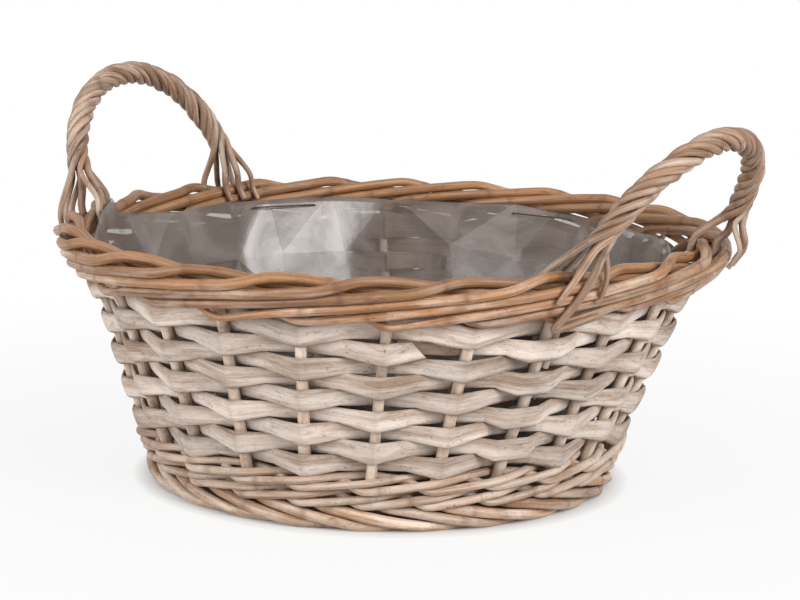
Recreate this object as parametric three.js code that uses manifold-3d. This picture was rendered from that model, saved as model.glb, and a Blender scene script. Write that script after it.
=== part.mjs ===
// Round wicker planter basket: upright willow stakes whose ends roll into a foot and a rim border,
// a wall of split willow over a low band of thin rods, two roped handles, a woven base and a film liner.
import * as THREE from 'three';
import { mergeVertices } from 'three/addons/utils/BufferGeometryUtils.js';
import Module from 'manifold-3d';

const wasm = await Module();
wasm.setup();

const DEGREE = Math.PI / 180;
const TURN = 2 * Math.PI;

// Driving dimensions, in millimetres. The origin is on the floor, on the axis of the round foot.
const CLEARANCE = 0.35; // air left between two pieces that lie together
const FLOOR_RADIUS = 95; // circle of the stakes, where the slope of the wall meets the floor
const WALL_LEAN = 22.5 * DEGREE; // slope of the wall, from upright
const WALL_TWIST = 5 * DEGREE; // turn of the rim against the foot
const STAKE_COUNT = 24;
const STAKE_DIAMETER = 4.8;
const BEND_RADIUS = 7; // bend of a stake where it turns into the foot or the border
const FOOT_TURN = 75 * DEGREE; // how far a foot rod rolls under from one stake to the next
const FOOT_REACH = 3; // stakes that a foot rod passes
const FOOT_FLAT = 0.8; // depth worn flat under the foot
const WALE_DIAMETER = 3.2;
const WALE_RODS = 3;
const WALE_FIRST = 10; // stake where the wale begins, at the back
const WALE_ROUNDS = 2;
const ROW_COUNT = 9;
const ROW_PITCH = 8.05; // from one row of splits to the next, up the slope
const SPLIT_WIDTH = 10;
const SPLIT_THICKNESS = 2.2;
const BORDER_DIAMETER = 4.2; // a stake is thinner where it runs in the border
const BORDER_GAP = 0.8; // from the last row of splits up to the border
const BORDER_REACH = 6; // stakes that a border rod passes
const BORDER_LIFT = 2; // rise of a border rod where it crosses over the rim
const HANDLE_SPAN = 3; // stakes from one leg of a handle to the other
const RIGHT_HANDLE_STAKE = -2; // stake of its first leg
const RIGHT_HANDLE_HEIGHT = 56.5; // from its feet to the middle of the rope at the top, along the handle
const RIGHT_HANDLE_LEAN = 32 * DEGREE; // out from upright
const RIGHT_HANDLE_FEET = [1, 6]; // how far out of the wall each leg leaves the rim
const RIGHT_HANDLE_TAILS = [1, 0.2]; // share of the drift at each leg: below half, all tails end on the border
const LEFT_HANDLE_STAKE = 10;
const LEFT_HANDLE_HEIGHT = 52;
const LEFT_HANDLE_LEAN = 22.5 * DEGREE;
const LEFT_HANDLE_FEET = [-7, -5];
const LEFT_HANDLE_TAILS = [0.4, 0.3];
const CORE_DIAMETER = 4;
const CORE_DEPTH = 46; // length of a core leg that is pushed down beside its stake
const CORE_RISE = 5; // height above the rim where a core leg becomes the arch
const STRAND_COUNT = 6;
const STRAND_DIAMETER = 3.1;
const STRAND_TURNS = 4;
const STRAND_SPREAD = 9; // how far the outer strands fan out to each side at the rim
const STRAND_DRIFTS = [24, 3, 14, 14, 14, 16]; // how far each tip runs on, away from the handle's middle
const SHORT_STRAND = 5; // this one ends on the border
const ROPE_START = 9; // height above the core's feet where the roping begins
const BASE_HEIGHT = 11.5; // middle of the base sticks
const BASE_STICKS = 3; // sticks each way in the cross of the base
const BASE_STICK_DIAMETER = 5;
const BASE_STICK_SPACING = 5.4; // between neighbours where the sticks cross
const BASE_SLOT_WALL = 1.9; // wood left over and under a slot
const BASE_INNER_RADIUS = 27; // middle of the first turn of the base weave
const BASE_TURN_PITCH = 8.7; // between neighbouring turns of the base weave
const BASE_WEAVERS = 2;
const BASE_TURNS = 3; // of each base weaver
const BASE_SPLIT_WIDTH = 8.2;
const LINER_WALL = 1;
const LINER_DROP = 6.5; // from the top of the rim down to the edge of the liner
const THREAD_DIAMETER = 1;
const STITCH_STAKES = [5, 9]; // inside the liner, the thread runs from each of these stakes to the next

// Sizes that follow from the driving dimensions.
const STAKE_PITCH = TURN / STAKE_COUNT;
const FOOT_LAY = STAKE_DIAMETER + CLEARANCE; // between the middles of two foot rods
const BORDER_LAY = BORDER_DIAMETER + CLEARANCE; // between the middles of two border rods
const SLANT_CLEARANCE = 1.5 * CLEARANCE; // air between rods that cross at a slant
const WALE_LAY = WALE_DIAMETER + SLANT_CLEARANCE;

// Foot: rods that roll round a circle in section, with a flat worn under them.
const FOOT_ROLL = FOOT_LAY / (2 * Math.sin(FOOT_TURN / 2));
const FOOT_MIDDLE = FOOT_ROLL + STAKE_DIAMETER / 2 - FOOT_FLAT;
const FOOT_TOP = FOOT_MIDDLE + FOOT_ROLL;
const FOOT_RADIUS = FLOOR_RADIUS + FOOT_TOP * Math.tan(WALL_LEAN);
const HALF_STEP_HEIGHT = FOOT_MIDDLE + FOOT_ROLL * Math.cos(FOOT_TURN / 2);

// Heights up the slope of the wall, from the foot to the rim.
const WALE_SEAT = HALF_STEP_HEIGHT + (STAKE_DIAMETER + WALE_DIAMETER) / 2 + CLEARANCE;
const WALE_LOW = WALE_SEAT / Math.cos(WALL_LEAN);
const WALE_UP = WALE_LOW + WALE_LAY / 2;
const WALE_LAYERS = 2 * WALE_ROUNDS; // two rods lie in front of a stake in each round
const WALE_TOP = WALE_LOW + (WALE_LAYERS - 1) * WALE_LAY + WALE_DIAMETER / 2;
const FIRST_ROW = WALE_TOP + CLEARANCE + SPLIT_WIDTH / 2;
const LAST_ROW = FIRST_ROW + (ROW_COUNT - 1) * ROW_PITCH;
const ROWS_TOP = LAST_ROW + SPLIT_WIDTH / 2;

// Border, in stakes passed: the rod runs behind the stakes, crosses over the rim and comes down in front.
const BEHIND_FROM = 0.75;
const CROSS_FROM = 2;
const CROSS_TO = 2.73;
const CROSS_RISE = 0.25; // lays that the rod rises on its way over the rim
const BORDER_LOW = ROWS_TOP + BORDER_GAP + BORDER_DIAMETER / 2;
const FRONT_TOP = BORDER_LOW + (BORDER_REACH - CROSS_TO) * BORDER_LAY;
const BEHIND_LOW = FRONT_TOP - (CROSS_FROM - BEHIND_FROM + CROSS_RISE) * BORDER_LAY;
const STAKE_TOP = BEHIND_LOW - BORDER_LAY / 2;
const RIM_TOP = FRONT_TOP + BORDER_LIFT + BORDER_DIAMETER / 2;

// Distances out of the wall.
const WALE_OUT = (STAKE_DIAMETER + WALE_DIAMETER) / 2 + CLEARANCE;
const SPLIT_OUT = (STAKE_DIAMETER + SPLIT_THICKNESS) / 2 + CLEARANCE;
const SPLIT_FLAT = STAKE_DIAMETER / 2 + CORE_DIAMETER + 2 * CLEARANCE; // half the flat stretch on a stake
const BORDER_OUT = (STAKE_DIAMETER + BORDER_DIAMETER) / 2 + CLEARANCE;
const STRAND_OUT = BORDER_OUT + (BORDER_DIAMETER + STRAND_DIAMETER) / 2 + CLEARANCE;
const LINER_OUT = -STRAND_OUT - STRAND_DIAMETER / 2 - CLEARANCE; // outer face of the liner

const BASE_SPOKES = 4 * BASE_STICKS; // each stick has two arms

// Facets of the round pieces, and the points along them.
const ROD_STEP = 0.5; // stakes from one point of a foot or border rod to the next
const ARCH_STEPS = 18;
const STEPS_PER_TURN = 7;
const STAKE_SIDES = 5;
const STRAND_SIDES = 5;
const ROUND_FOOT = 0.08; // share of the way out that a strand adds for each mm its leg stands off the wall
const STICK_SIDES = 6;
const THREAD_SIDES = 5;

// Point on the wall: angle round the basket, distance up the slope, out of it and sideways along it.
function wallPoint(foot, up, out, aside = 0) {
  const angle = foot + (up / RIM_TOP) * WALL_TWIST;
  const radius = FLOOR_RADIUS + up * Math.sin(WALL_LEAN) + out * Math.cos(WALL_LEAN);
  const height = up * Math.cos(WALL_LEAN) - out * Math.sin(WALL_LEAN);
  const x = radius * Math.cos(angle) - aside * Math.sin(angle);
  const y = radius * Math.sin(angle) + aside * Math.cos(angle);
  return new THREE.Vector3(x, y, height);
}

// Length of one stake pitch round the wall at a height up the slope.
function pitchLength(up) {
  return (FLOOR_RADIUS + up * Math.sin(WALL_LEAN)) * STAKE_PITCH;
}

// Closed skin over a row of rings that have the same number of points, with flat ends.
function loft(rings) {
  const sides = rings[0].length;
  const positions = rings.flat().flatMap((point) => point.toArray());
  const triangles = [];
  for (let ring = 0; ring + 1 < rings.length; ring += 1) {
    for (let side = 0; side < sides; side += 1) {
      const here = ring * sides + side;
      const beside = ring * sides + ((side + 1) % sides);
      triangles.push(here, beside, here + sides, beside, beside + sides, here + sides);
    }
  }
  const last = (rings.length - 1) * sides;
  for (let side = 1; side + 1 < sides; side += 1) {
    triangles.push(0, side + 1, side, last, last + side, last + side + 1);
  }
  const geometry = new THREE.BufferGeometry();
  geometry.setAttribute('position', new THREE.Float32BufferAttribute(positions, 3));
  geometry.setIndex(facingOut(positions, triangles));
  return geometry;
}

// The triangles, turned over if the skin they make is inside out.
function facingOut(positions, triangles) {
  const corner = (index) => new THREE.Vector3().fromArray(positions, 3 * index);
  let volume = 0;
  for (let index = 0; index < triangles.length; index += 3) {
    const [a, b, c] = triangles.slice(index, index + 3).map(corner);
    volume += a.dot(b.cross(c));
  }
  return volume > 0 ? triangles : triangles.reverse();
}

// Rod through the given points. Its section is an ellipse, with a width and a height for each point,
// or one for them all.
function rod(points, widths, sides, heights = widths) {
  const steep = 0.9; // a rod whose start rises more than this is squared to Y
  const sizeAt = (sizes, index) => (Array.isArray(sizes) ? sizes[index] : sizes);
  const rings = [];
  let across = null;
  points.forEach((point, index) => {
    const before = points[Math.max(index - 1, 0)];
    const after = points[Math.min(index + 1, points.length - 1)];
    const arriving = point.clone().sub(before).normalize();
    const along = after.clone().sub(point).normalize().add(arriving).normalize();
    const start = Math.abs(along.z) < steep ? new THREE.Vector3(0, 0, 1) : new THREE.Vector3(0, 1, 0);
    across = (across ?? start).clone().addScaledVector(along, -(across ?? start).dot(along)).normalize();
    const aside = along.clone().cross(across);
    const tall = sizeAt(heights, index) / 2;
    const wide = sizeAt(widths, index) / 2;
    rings.push(Array.from({ length: sides }, (_, side) => {
      const angle = (side / sides) * TURN;
      const corner = point.clone().addScaledVector(across, tall * Math.cos(angle));
      return corner.addScaledVector(aside, wide * Math.sin(angle));
    }));
  });
  return loft(rings);
}

// Solid for cutting, from a closed geometry.
function solidOf(geometry) {
  const bare = geometry.clone();
  bare.deleteAttribute('normal');
  bare.deleteAttribute('uv');
  const merged = mergeVertices(bare);
  const triangles = [];
  for (let index = 0; index < merged.index.count; index += 3) {
    const [a, b, c] = [0, 1, 2].map((corner) => merged.index.getX(index + corner));
    if (a !== b && b !== c && c !== a) triangles.push(a, b, c);
  }
  const positions = Float32Array.from(merged.attributes.position.array);
  const triVerts = Uint32Array.from(facingOut(positions, triangles));
  return new wasm.Manifold(new wasm.Mesh({ numProp: 3, vertProperties: positions, triVerts }));
}

// The first geometry with the others cut away.
function cut(geometry, tools) {
  const left = tools.reduce((solid, tool) => solid.subtract(solidOf(tool)), solidOf(geometry));
  const mesh = left.getMesh();
  const result = new THREE.BufferGeometry();
  result.setAttribute('position', new THREE.Float32BufferAttribute(mesh.vertProperties, 3));
  result.setIndex(Array.from(mesh.triVerts));
  return result;
}

// Point of a foot rod that has passed some stakes: it rolls out, down and under.
function footPoint(angle, passed) {
  const roll = Math.PI / 2 - passed * FOOT_TURN;
  const radius = FOOT_RADIUS + FOOT_ROLL * Math.cos(roll);
  const round = angle + passed * STAKE_PITCH;
  const height = FOOT_MIDDLE + FOOT_ROLL * Math.sin(roll);
  return new THREE.Vector3(radius * Math.cos(round), radius * Math.sin(round), height);
}

// Point of a border rod that has passed some stakes, going the other way round.
function borderPoint(angle, passed) {
  const round = angle - passed * STAKE_PITCH;
  if (passed <= BEHIND_FROM) {
    const share = passed / BEHIND_FROM;
    return wallPoint(round, STAKE_TOP + share * (BEHIND_LOW - STAKE_TOP), -BORDER_OUT * share);
  }
  if (passed <= CROSS_FROM) {
    return wallPoint(round, BEHIND_LOW + (passed - BEHIND_FROM) * BORDER_LAY, -BORDER_OUT);
  }
  if (passed < CROSS_TO) return wallPoint(round, FRONT_TOP + BORDER_LIFT, 0);
  return wallPoint(round, FRONT_TOP - (passed - CROSS_TO) * BORDER_LAY, BORDER_OUT);
}

// One willow stake: foot rod, upright and border rod in one piece.
function stake(angle) {
  const corner = BEND_RADIUS * (1 - Math.SQRT1_2); // the middle of a bend, off each of its two legs
  const footUp = FOOT_TOP / Math.cos(WALL_LEAN);
  const footPitch = FOOT_RADIUS * STAKE_PITCH;
  const bend = BEND_RADIUS / footPitch;
  const points = [];
  for (let passed = FOOT_REACH; passed > bend + STAKE_DIAMETER / footPitch; passed -= ROD_STEP) {
    points.push(footPoint(angle, passed));
  }
  points.push(footPoint(angle, bend));
  points.push(wallPoint(angle + (corner / footPitch) * STAKE_PITCH, footUp + corner, 0));
  points.push(wallPoint(angle, footUp + BEND_RADIUS, 0));
  const rimPitch = pitchLength(STAKE_TOP);
  points.push(wallPoint(angle, STAKE_TOP - BEND_RADIUS, 0));
  points.push(wallPoint(angle - (corner / rimPitch) * STAKE_PITCH, STAKE_TOP - corner, 0));
  const widths = points.map(() => STAKE_DIAMETER);
  points.push(borderPoint(angle, BEND_RADIUS / rimPitch));
  const behindMiddle = (BEHIND_FROM + CROSS_FROM) / 2;
  const crossMiddle = (CROSS_FROM + CROSS_TO) / 2;
  for (const passed of [BEHIND_FROM, behindMiddle, CROSS_FROM, crossMiddle, CROSS_TO]) {
    points.push(borderPoint(angle, passed));
  }
  for (let passed = Math.ceil(CROSS_TO); passed <= BORDER_REACH; passed += ROD_STEP) {
    points.push(borderPoint(angle, passed));
  }
  const reach = 2 * FLOOR_RADIUS;
  const floor = new THREE.BoxGeometry(2 * reach, 2 * reach, reach).translate(0, 0, -reach / 2);
  while (widths.length < points.length) widths.push(BORDER_DIAMETER);
  return cut(rod(points, widths, STAKE_SIDES), [floor]);
}

// One row of split willow, in front of every other stake and behind the rest, wide on the stakes
// and narrow where it crosses its neighbours. Its ends meet behind one stake.
function sideSplit(row) {
  const up = FIRST_ROW + row * ROW_PITCH;
  const flat = SPLIT_FLAT / pitchLength(up);
  const gap = CLEARANCE / 2 / pitchLength(up);
  const crossing = (SPLIT_THICKNESS + CLEARANCE) / (2 * SPLIT_OUT); // share of the swing where rows meet
  const neck = (ROW_PITCH - CLEARANCE - crossing * SPLIT_WIDTH) / (1 - crossing);
  const first = Math.round(STAKE_COUNT / 3) + (row % 2);
  const stations = [];
  for (let passed = 0; passed <= STAKE_COUNT; passed += 1) {
    const out = passed % 2 ? SPLIT_OUT : -SPLIT_OUT;
    const ends = [passed === 0 ? gap : -flat, passed === STAKE_COUNT ? -gap : flat];
    ends.forEach((off) => stations.push([passed + off, out, SPLIT_WIDTH]));
    if (passed < STAKE_COUNT) stations.push([passed + 0.5, 0, neck]);
  }
  return loft(stations.map(([passed, out, width]) => {
    const angle = (first + passed) * STAKE_PITCH;
    const low = up - width / 2;
    const high = up + width / 2;
    const back = out - SPLIT_THICKNESS / 2;
    const front = out + SPLIT_THICKNESS / 2;
    return [[low, back], [low, front], [high, front], [high, back]].map(([a, b]) => wallPoint(angle, a, b));
  }));
}

// Rods that lie below a wale rod which has passed some stakes: it steps up at the end of each round.
function waleLevel(passed) {
  const round = Math.floor(passed / STAKE_COUNT);
  const left = (round + 1) * STAKE_COUNT - passed;
  return 2 * (round + Math.max(0, 1 - left / WALE_RODS));
}

// One rod of the wale: in front of two stakes and behind the third.
function waleRod(strand) {
  // Stakes passed, share of the way out of the wall, and lift in lays.
  const swing = [[0.5, 0, -0.5], [1, 1, -0.5], [2, 1, 0.5], [2.5, 0, 0.5], [3, -1, 0]];
  const last = WALE_ROUNDS * STAKE_COUNT - WALE_RODS;
  const points = [];
  for (let period = 0; period <= last / WALE_RODS + 1; period += 1) {
    swing.forEach(([phase, out, lift]) => {
      const passed = period * WALE_RODS + phase - strand;
      if (passed < 0 || passed > last) return;
      const up = WALE_UP + (lift + waleLevel(passed)) * WALE_LAY;
      points.push(wallPoint((WALE_FIRST + passed) * STAKE_PITCH, up, out * WALE_OUT));
    });
  }
  return rod(points, WALE_DIAMETER, STAKE_SIDES);
}

// The bow of one handle: the legs beside their stakes, and the frame of the arch between them.
function handleBow(stakeIndex, height, lean, feetOut, tails) {
  const beside = (STAKE_DIAMETER + CORE_DIAMETER) / 2 + CLEARANCE;
  const footUp = RIM_TOP + CORE_RISE;
  const legs = [0, HANDLE_SPAN].map((step) => (stakeIndex + step) * STAKE_PITCH);
  const feet = legs.map((angle, leg) => wallPoint(angle, footUp, feetOut[leg], beside));
  const along = feet[1].clone().sub(feet[0]);
  const halfSpan = along.length() / 2;
  along.normalize();
  const centre = feet[0].clone().add(feet[1]).multiplyScalar(0.5);
  const outward = new THREE.Vector3(centre.x, centre.y, 0).normalize();
  const upward = new THREE.Vector3(0, 0, Math.cos(lean)).addScaledVector(outward, Math.sin(lean));
  const through = along.clone().cross(upward).normalize();
  const archPoint = (t) => centre.clone()
    .addScaledVector(along, -halfSpan * Math.cos(t))
    .addScaledVector(upward, height * Math.sin(t));
  const archTangent = (t) => along.clone().multiplyScalar(halfSpan * Math.sin(t))
    .addScaledVector(upward, height * Math.cos(t)).normalize();
  const ropeFrom = Math.asin(ROPE_START / height);
  return { legs, beside, feetOut, tails, through, ropeFrom, archPoint, archTangent };
}

// Core of a handle: a bow whose two legs go down between the splits, each beside a stake.
function handleCore({ legs, beside, archPoint }) {
  const leg = (angle) => [RIM_TOP - CORE_DEPTH, RIM_TOP].map((up) => wallPoint(angle, up, 0, beside));
  const points = leg(legs[0]);
  for (let step = 0; step <= ARCH_STEPS; step += 1) points.push(archPoint((step / ARCH_STEPS) * Math.PI));
  points.push(...leg(legs[1]).reverse());
  return rod(points, CORE_DIAMETER, STICK_SIDES);
}

// End of a roping strand at one leg, from the rope down over the rim: some outside it, some inside.
// It drifts sideways on its way, and a short one ends on the border.
function strandEnd(angle, footOut, aside, drift, outside, short) {
  const tip = BORDER_LOW - (BORDER_DIAMETER + STRAND_DIAMETER) / 2;
  // Height up the slope, share of the way out of the wall and share of the drift.
  const overRim = [FRONT_TOP + 1.1 * BORDER_LAY, 0.8 + ROUND_FOOT * Math.max(footOut, 0), 0];
  const tuckedIn = [tip, 0.88, 1];
  const underRim = [FRONT_TOP + 0.7 * BORDER_LAY, -0.85 + ROUND_FOOT * Math.min(footOut, 0), 0];
  const behindTop = FRONT_TOP - 0.4 * BORDER_LAY;
  const behindTip = BEHIND_LOW - 0.3 * BORDER_LAY;
  const down = short ? [[FRONT_TOP - 1.2 * BORDER_LAY, 1, 0.45]] : [[BORDER_LOW, 1, 0.8], tuckedIn];
  const route = outside
    ? [overRim, [FRONT_TOP, 1 + ROUND_FOOT / 3 * Math.max(footOut, 0), 0.2], ...down]
    : [underRim, [behindTop, -1, 0.2], [behindTip, -1, 0.5]];
  return route.map(([up, share, moved]) => {
    const passed = (aside + moved * drift) / pitchLength(up);
    return wallPoint(angle + passed * STAKE_PITCH, up, share * STRAND_OUT);
  });
}

// One roping strand: turns round the core from leg to leg, and fans out over the rim at both ends.
function handleStrand({ legs, beside, feetOut, tails, through, ropeFrom, archPoint, archTangent }, strand) {
  const ropeRadius = (CORE_DIAMETER + STRAND_DIAMETER) / 2 + SLANT_CLEARANCE;
  const phase = Math.PI / 2 + (strand / STRAND_COUNT) * TURN;
  const outside = Math.sin(phase) > 0;
  const spread = STRAND_SPREAD * Math.cos(phase);
  const steps = STRAND_TURNS * STEPS_PER_TURN;
  const end = (leg, way) => {
    const drift = way * tails[leg] * STRAND_DRIFTS[strand];
    const short = strand === SHORT_STRAND || tails[leg] < 0.5;
    return strandEnd(legs[leg], feetOut[leg], beside + way * spread, drift, outside, short);
  };
  const points = end(0, -1).reverse();
  for (let step = 0; step <= steps; step += 1) {
    const t = ropeFrom + (step / steps) * (Math.PI - 2 * ropeFrom);
    const angle = phase + (step / STEPS_PER_TURN) * TURN;
    const sideways = through.clone().cross(archTangent(t));
    const offset = sideways.multiplyScalar(Math.cos(angle)).addScaledVector(through, Math.sin(angle));
    points.push(archPoint(t).addScaledVector(offset, ropeRadius));
  }
  points.push(...end(1, 1));
  return rod(points, STRAND_DIAMETER, STRAND_SIDES);
}

// One base stick. Half of them are split at the middle, and the others pass through their slots.
function baseStick(index) {
  const slotted = index < BASE_STICKS;
  const place = (index % BASE_STICKS) - (BASE_STICKS - 1) / 2;
  const slotHeight = BASE_STICK_DIAMETER + 2 * CLEARANCE;
  const slotLength = (BASE_STICKS - 1) * BASE_STICK_SPACING + slotHeight;
  const tall = slotHeight + 2 * BASE_SLOT_WALL;
  const straight = slotLength / 2 + BASE_SLOT_WALL;
  const thinned = straight + BASE_STICK_DIAMETER;
  const stakeRadius = FLOOR_RADIUS + BASE_HEIGHT * Math.tan(WALL_LEAN);
  const end = stakeRadius - STAKE_DIAMETER / 2 - CLEARANCE;
  const spoke = (place * TURN) / BASE_SPOKES;
  const arm = (distance) => {
    const start = new THREE.Vector2(straight, place * BASE_STICK_SPACING);
    const finish = new THREE.Vector2(end * Math.cos(spoke), end * Math.sin(spoke));
    return start.lerp(finish, (distance - straight) / (end - straight));
  };
  const distances = slotted ? [end, thinned, straight] : [end, straight];
  const out = distances.map(arm);
  const half = out.map(({ x, y }) => new THREE.Vector3(x, y, BASE_HEIGHT));
  const other = out.map(({ x, y }) => new THREE.Vector3(-x, y, BASE_HEIGHT)).reverse();
  const heights = slotted ? [1, 1, tall / BASE_STICK_DIAMETER] : [1, 1];
  const sizes = [...heights, ...heights.slice().reverse()].map((share) => share * BASE_STICK_DIAMETER);
  const stick = rod([...half, ...other], BASE_STICK_DIAMETER, STICK_SIDES, sizes);
  if (!slotted) return stick.rotateZ(Math.PI / 2);
  const slot = new THREE.BoxGeometry(slotLength, 2 * end, slotHeight);
  return cut(stick, [slot.translate(0, 0, BASE_HEIGHT)]);
}

// One of the base weavers: a flat spiral, over one spoke and under the next.
function baseWeaver(weaver) {
  const swing = (BASE_STICK_DIAMETER + SPLIT_THICKNESS) / 2 + 2 * CLEARANCE;
  const halves = 2 * BASE_SPOKES; // halfway points between spokes count too
  const rings = [];
  for (let half = 0; half <= halves * BASE_TURNS; half += 1) {
    const angle = (half / halves) * TURN;
    const radius = BASE_INNER_RADIUS + (weaver + (BASE_WEAVERS * half) / halves) * BASE_TURN_PITCH;
    const side = half % 2 ? 0 : (-1) ** (half / 2 + weaver);
    const middle = BASE_HEIGHT + side * swing;
    const inner = radius - BASE_SPLIT_WIDTH / 2;
    const outer = radius + BASE_SPLIT_WIDTH / 2;
    const low = middle - SPLIT_THICKNESS / 2;
    const high = middle + SPLIT_THICKNESS / 2;
    rings.push([[inner, low], [outer, low], [outer, high], [inner, high]].map(
      ([r, z]) => new THREE.Vector3(r * Math.cos(angle), r * Math.sin(angle), z)));
  }
  return loft(rings);
}

// Height up the slope of the thread, in the gap between the last row and the border.
const STITCH_UP = (ROWS_TOP + STAKE_TOP) / 2;

// Running stitch: behind the stakes, and through the liner and along its inner face at each stitch.
function stitch() {
  const seat = -(STAKE_DIAMETER + THREAD_DIAMETER) / 2 - CLEARANCE;
  const inside = LINER_OUT - LINER_WALL - THREAD_DIAMETER / 2 - CLEARANCE;
  const points = [];
  for (let index = STITCH_STAKES[0]; index <= STITCH_STAKES.at(-1) + 1; index += 1) {
    const angle = index * STAKE_PITCH;
    if (STITCH_STAKES.includes(index - 1)) points.push(wallPoint(angle, STITCH_UP, inside));
    points.push(wallPoint(angle, STITCH_UP, seat));
    if (STITCH_STAKES.includes(index)) points.push(wallPoint(angle, STITCH_UP, inside));
  }
  return rod(points, THREAD_DIAMETER, THREAD_SIDES);
}

// Film liner: a cup that stands on the base weave, parallel to the wall, with a hole for each thread.
function liner() {
  const segments = 2 * STAKE_COUNT;
  const floor = BASE_HEIGHT + BASE_STICK_DIAMETER / 2 + SPLIT_THICKNESS + 3 * CLEARANCE;
  const top = RIM_TOP * Math.cos(WALL_LEAN) - LINER_DROP;
  const radius = (height, out) => FLOOR_RADIUS + height * Math.tan(WALL_LEAN) + out / Math.cos(WALL_LEAN);
  const inside = floor + LINER_WALL;
  const inner = LINER_OUT - LINER_WALL;
  const profile = [
    [0, floor], [radius(floor, LINER_OUT), floor], [radius(top, LINER_OUT), top],
    [radius(top, inner), top], [radius(inside, inner), inside], [0, inside],
  ];
  const turned = new THREE.LatheGeometry(profile.map(([r, z]) => new THREE.Vector2(r, z)), segments);
  const holes = STITCH_STAKES.flatMap((first) => [first, first + 1]).map((index) => {
    const angle = index * STAKE_PITCH;
    const middle = LINER_OUT - LINER_WALL / 2;
    const ends = [middle + LINER_WALL, middle - LINER_WALL].map((out) => wallPoint(angle, STITCH_UP, out));
    return rod(ends, THREAD_DIAMETER + 2 * CLEARANCE, STICK_SIDES);
  });
  return cut(turned.rotateX(Math.PI / 2), holes);
}

const SPLIT_WILLOW = new THREE.MeshStandardMaterial({ color: 0xb9a999, roughness: 0.8, metalness: 0 });
const STAKE_WILLOW = new THREE.MeshStandardMaterial({ color: 0xb38c6b, roughness: 0.6, metalness: 0 });
const WALE_WILLOW = new THREE.MeshStandardMaterial({ color: 0xa98a72, roughness: 0.65, metalness: 0 });
const HANDLE_WILLOW = new THREE.MeshStandardMaterial({ color: 0x94765f, roughness: 0.65, metalness: 0 });
const BASE_WILLOW = new THREE.MeshStandardMaterial({ color: 0xa68d78, roughness: 0.8, metalness: 0 });
const FILM = new THREE.MeshStandardMaterial({
  color: 0xd9ddd6, roughness: 0.2, metalness: 0, transparent: true, opacity: 0.4,
});
const THREAD = new THREE.MeshStandardMaterial({ color: 0x4a4038, roughness: 0.9, metalness: 0 });

const basket = new THREE.Group();

function addPiece(name, geometry, material) {
  const mesh = new THREE.Mesh(geometry, material);
  mesh.name = name;
  basket.add(mesh);
}

for (let index = 0; index < STAKE_COUNT; index += 1) {
  addPiece(`stake_${String(index + 1).padStart(2, '0')}`, stake(index * STAKE_PITCH), STAKE_WILLOW);
}
for (let row = 0; row < ROW_COUNT; row += 1) addPiece(`side_split_${row + 1}`, sideSplit(row), SPLIT_WILLOW);
for (let strand = 0; strand < WALE_RODS; strand += 1) {
  addPiece(`wale_rod_${strand + 1}`, waleRod(strand), WALE_WILLOW);
}
const BOWS = {
  right: handleBow(RIGHT_HANDLE_STAKE, RIGHT_HANDLE_HEIGHT, RIGHT_HANDLE_LEAN, RIGHT_HANDLE_FEET, RIGHT_HANDLE_TAILS),
  left: handleBow(LEFT_HANDLE_STAKE, LEFT_HANDLE_HEIGHT, LEFT_HANDLE_LEAN, LEFT_HANDLE_FEET, LEFT_HANDLE_TAILS),
};
for (const [side, bow] of Object.entries(BOWS)) {
  addPiece(`handle_${side}_core`, handleCore(bow), HANDLE_WILLOW);
  for (let strand = 0; strand < STRAND_COUNT; strand += 1) {
    addPiece(`handle_${side}_strand_${strand + 1}`, handleStrand(bow, strand), HANDLE_WILLOW);
  }
}
for (let index = 0; index < 2 * BASE_STICKS; index += 1) {
  addPiece(`base_stick_${index + 1}`, baseStick(index), BASE_WILLOW);
}
for (let weaver = 0; weaver < BASE_WEAVERS; weaver += 1) {
  addPiece(`base_weaver_${weaver + 1}`, baseWeaver(weaver), BASE_WILLOW);
}
addPiece('liner', liner(), FILM);
addPiece('liner_stitch', stitch(), THREAD);

export default basket;
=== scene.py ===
"""Round willow planter basket: stakes, split-willow wall, roped handles, woven base and film liner."""

import math
import random
from dataclasses import dataclass

import bmesh
import bpy
from bpy.props import FloatProperty, FloatVectorProperty, IntProperty, PointerProperty
from mathutils import Matrix, Vector, noise


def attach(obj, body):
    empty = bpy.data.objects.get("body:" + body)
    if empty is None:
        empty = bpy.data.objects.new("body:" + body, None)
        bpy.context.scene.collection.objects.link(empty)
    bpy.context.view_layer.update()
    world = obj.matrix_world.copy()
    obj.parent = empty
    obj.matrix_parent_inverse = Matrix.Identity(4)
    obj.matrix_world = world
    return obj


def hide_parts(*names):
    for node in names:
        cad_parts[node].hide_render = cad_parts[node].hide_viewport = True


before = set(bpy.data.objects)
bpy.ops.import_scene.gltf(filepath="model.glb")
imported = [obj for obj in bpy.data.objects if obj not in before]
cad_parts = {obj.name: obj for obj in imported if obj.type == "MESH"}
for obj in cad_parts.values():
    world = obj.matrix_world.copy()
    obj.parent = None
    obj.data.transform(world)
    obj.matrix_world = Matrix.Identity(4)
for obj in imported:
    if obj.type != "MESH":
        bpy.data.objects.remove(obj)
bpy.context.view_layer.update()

bl_info = {
    "name": "Willow planter basket",
    "version": (1, 0, 0),
    "blender": (4, 5, 0),
    "location": "3D View > Sidebar > Basket",
    "description": "Weaves a round planter basket with roped handles and a film liner",
    "category": "Add Mesh",
}

MM = 0.001
TURN = 2 * math.pi


# Sizes and colours in the panel

def linear(hex_colour):
    """Linear RGBA from an sRGB hex value."""
    parts = [int(hex_colour[place:place + 2], 16) / 255 for place in (0, 2, 4)]
    return [p / 12.92 if p <= 0.04045 else ((p + 0.055) / 1.055) ** 2.4 for p in parts] + [1.0]


def length(name, description, millimetres):
    """A size that the panel shows, given here in millimetres."""
    return FloatProperty(
        name=name, description=description, default=millimetres * MM, unit="LENGTH", precision=4
    )


def angle(name, description, degrees):
    """An angle that the panel shows, given here in degrees."""
    return FloatProperty(
        name=name, description=description, default=math.radians(degrees), subtype="ANGLE"
    )


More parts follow.
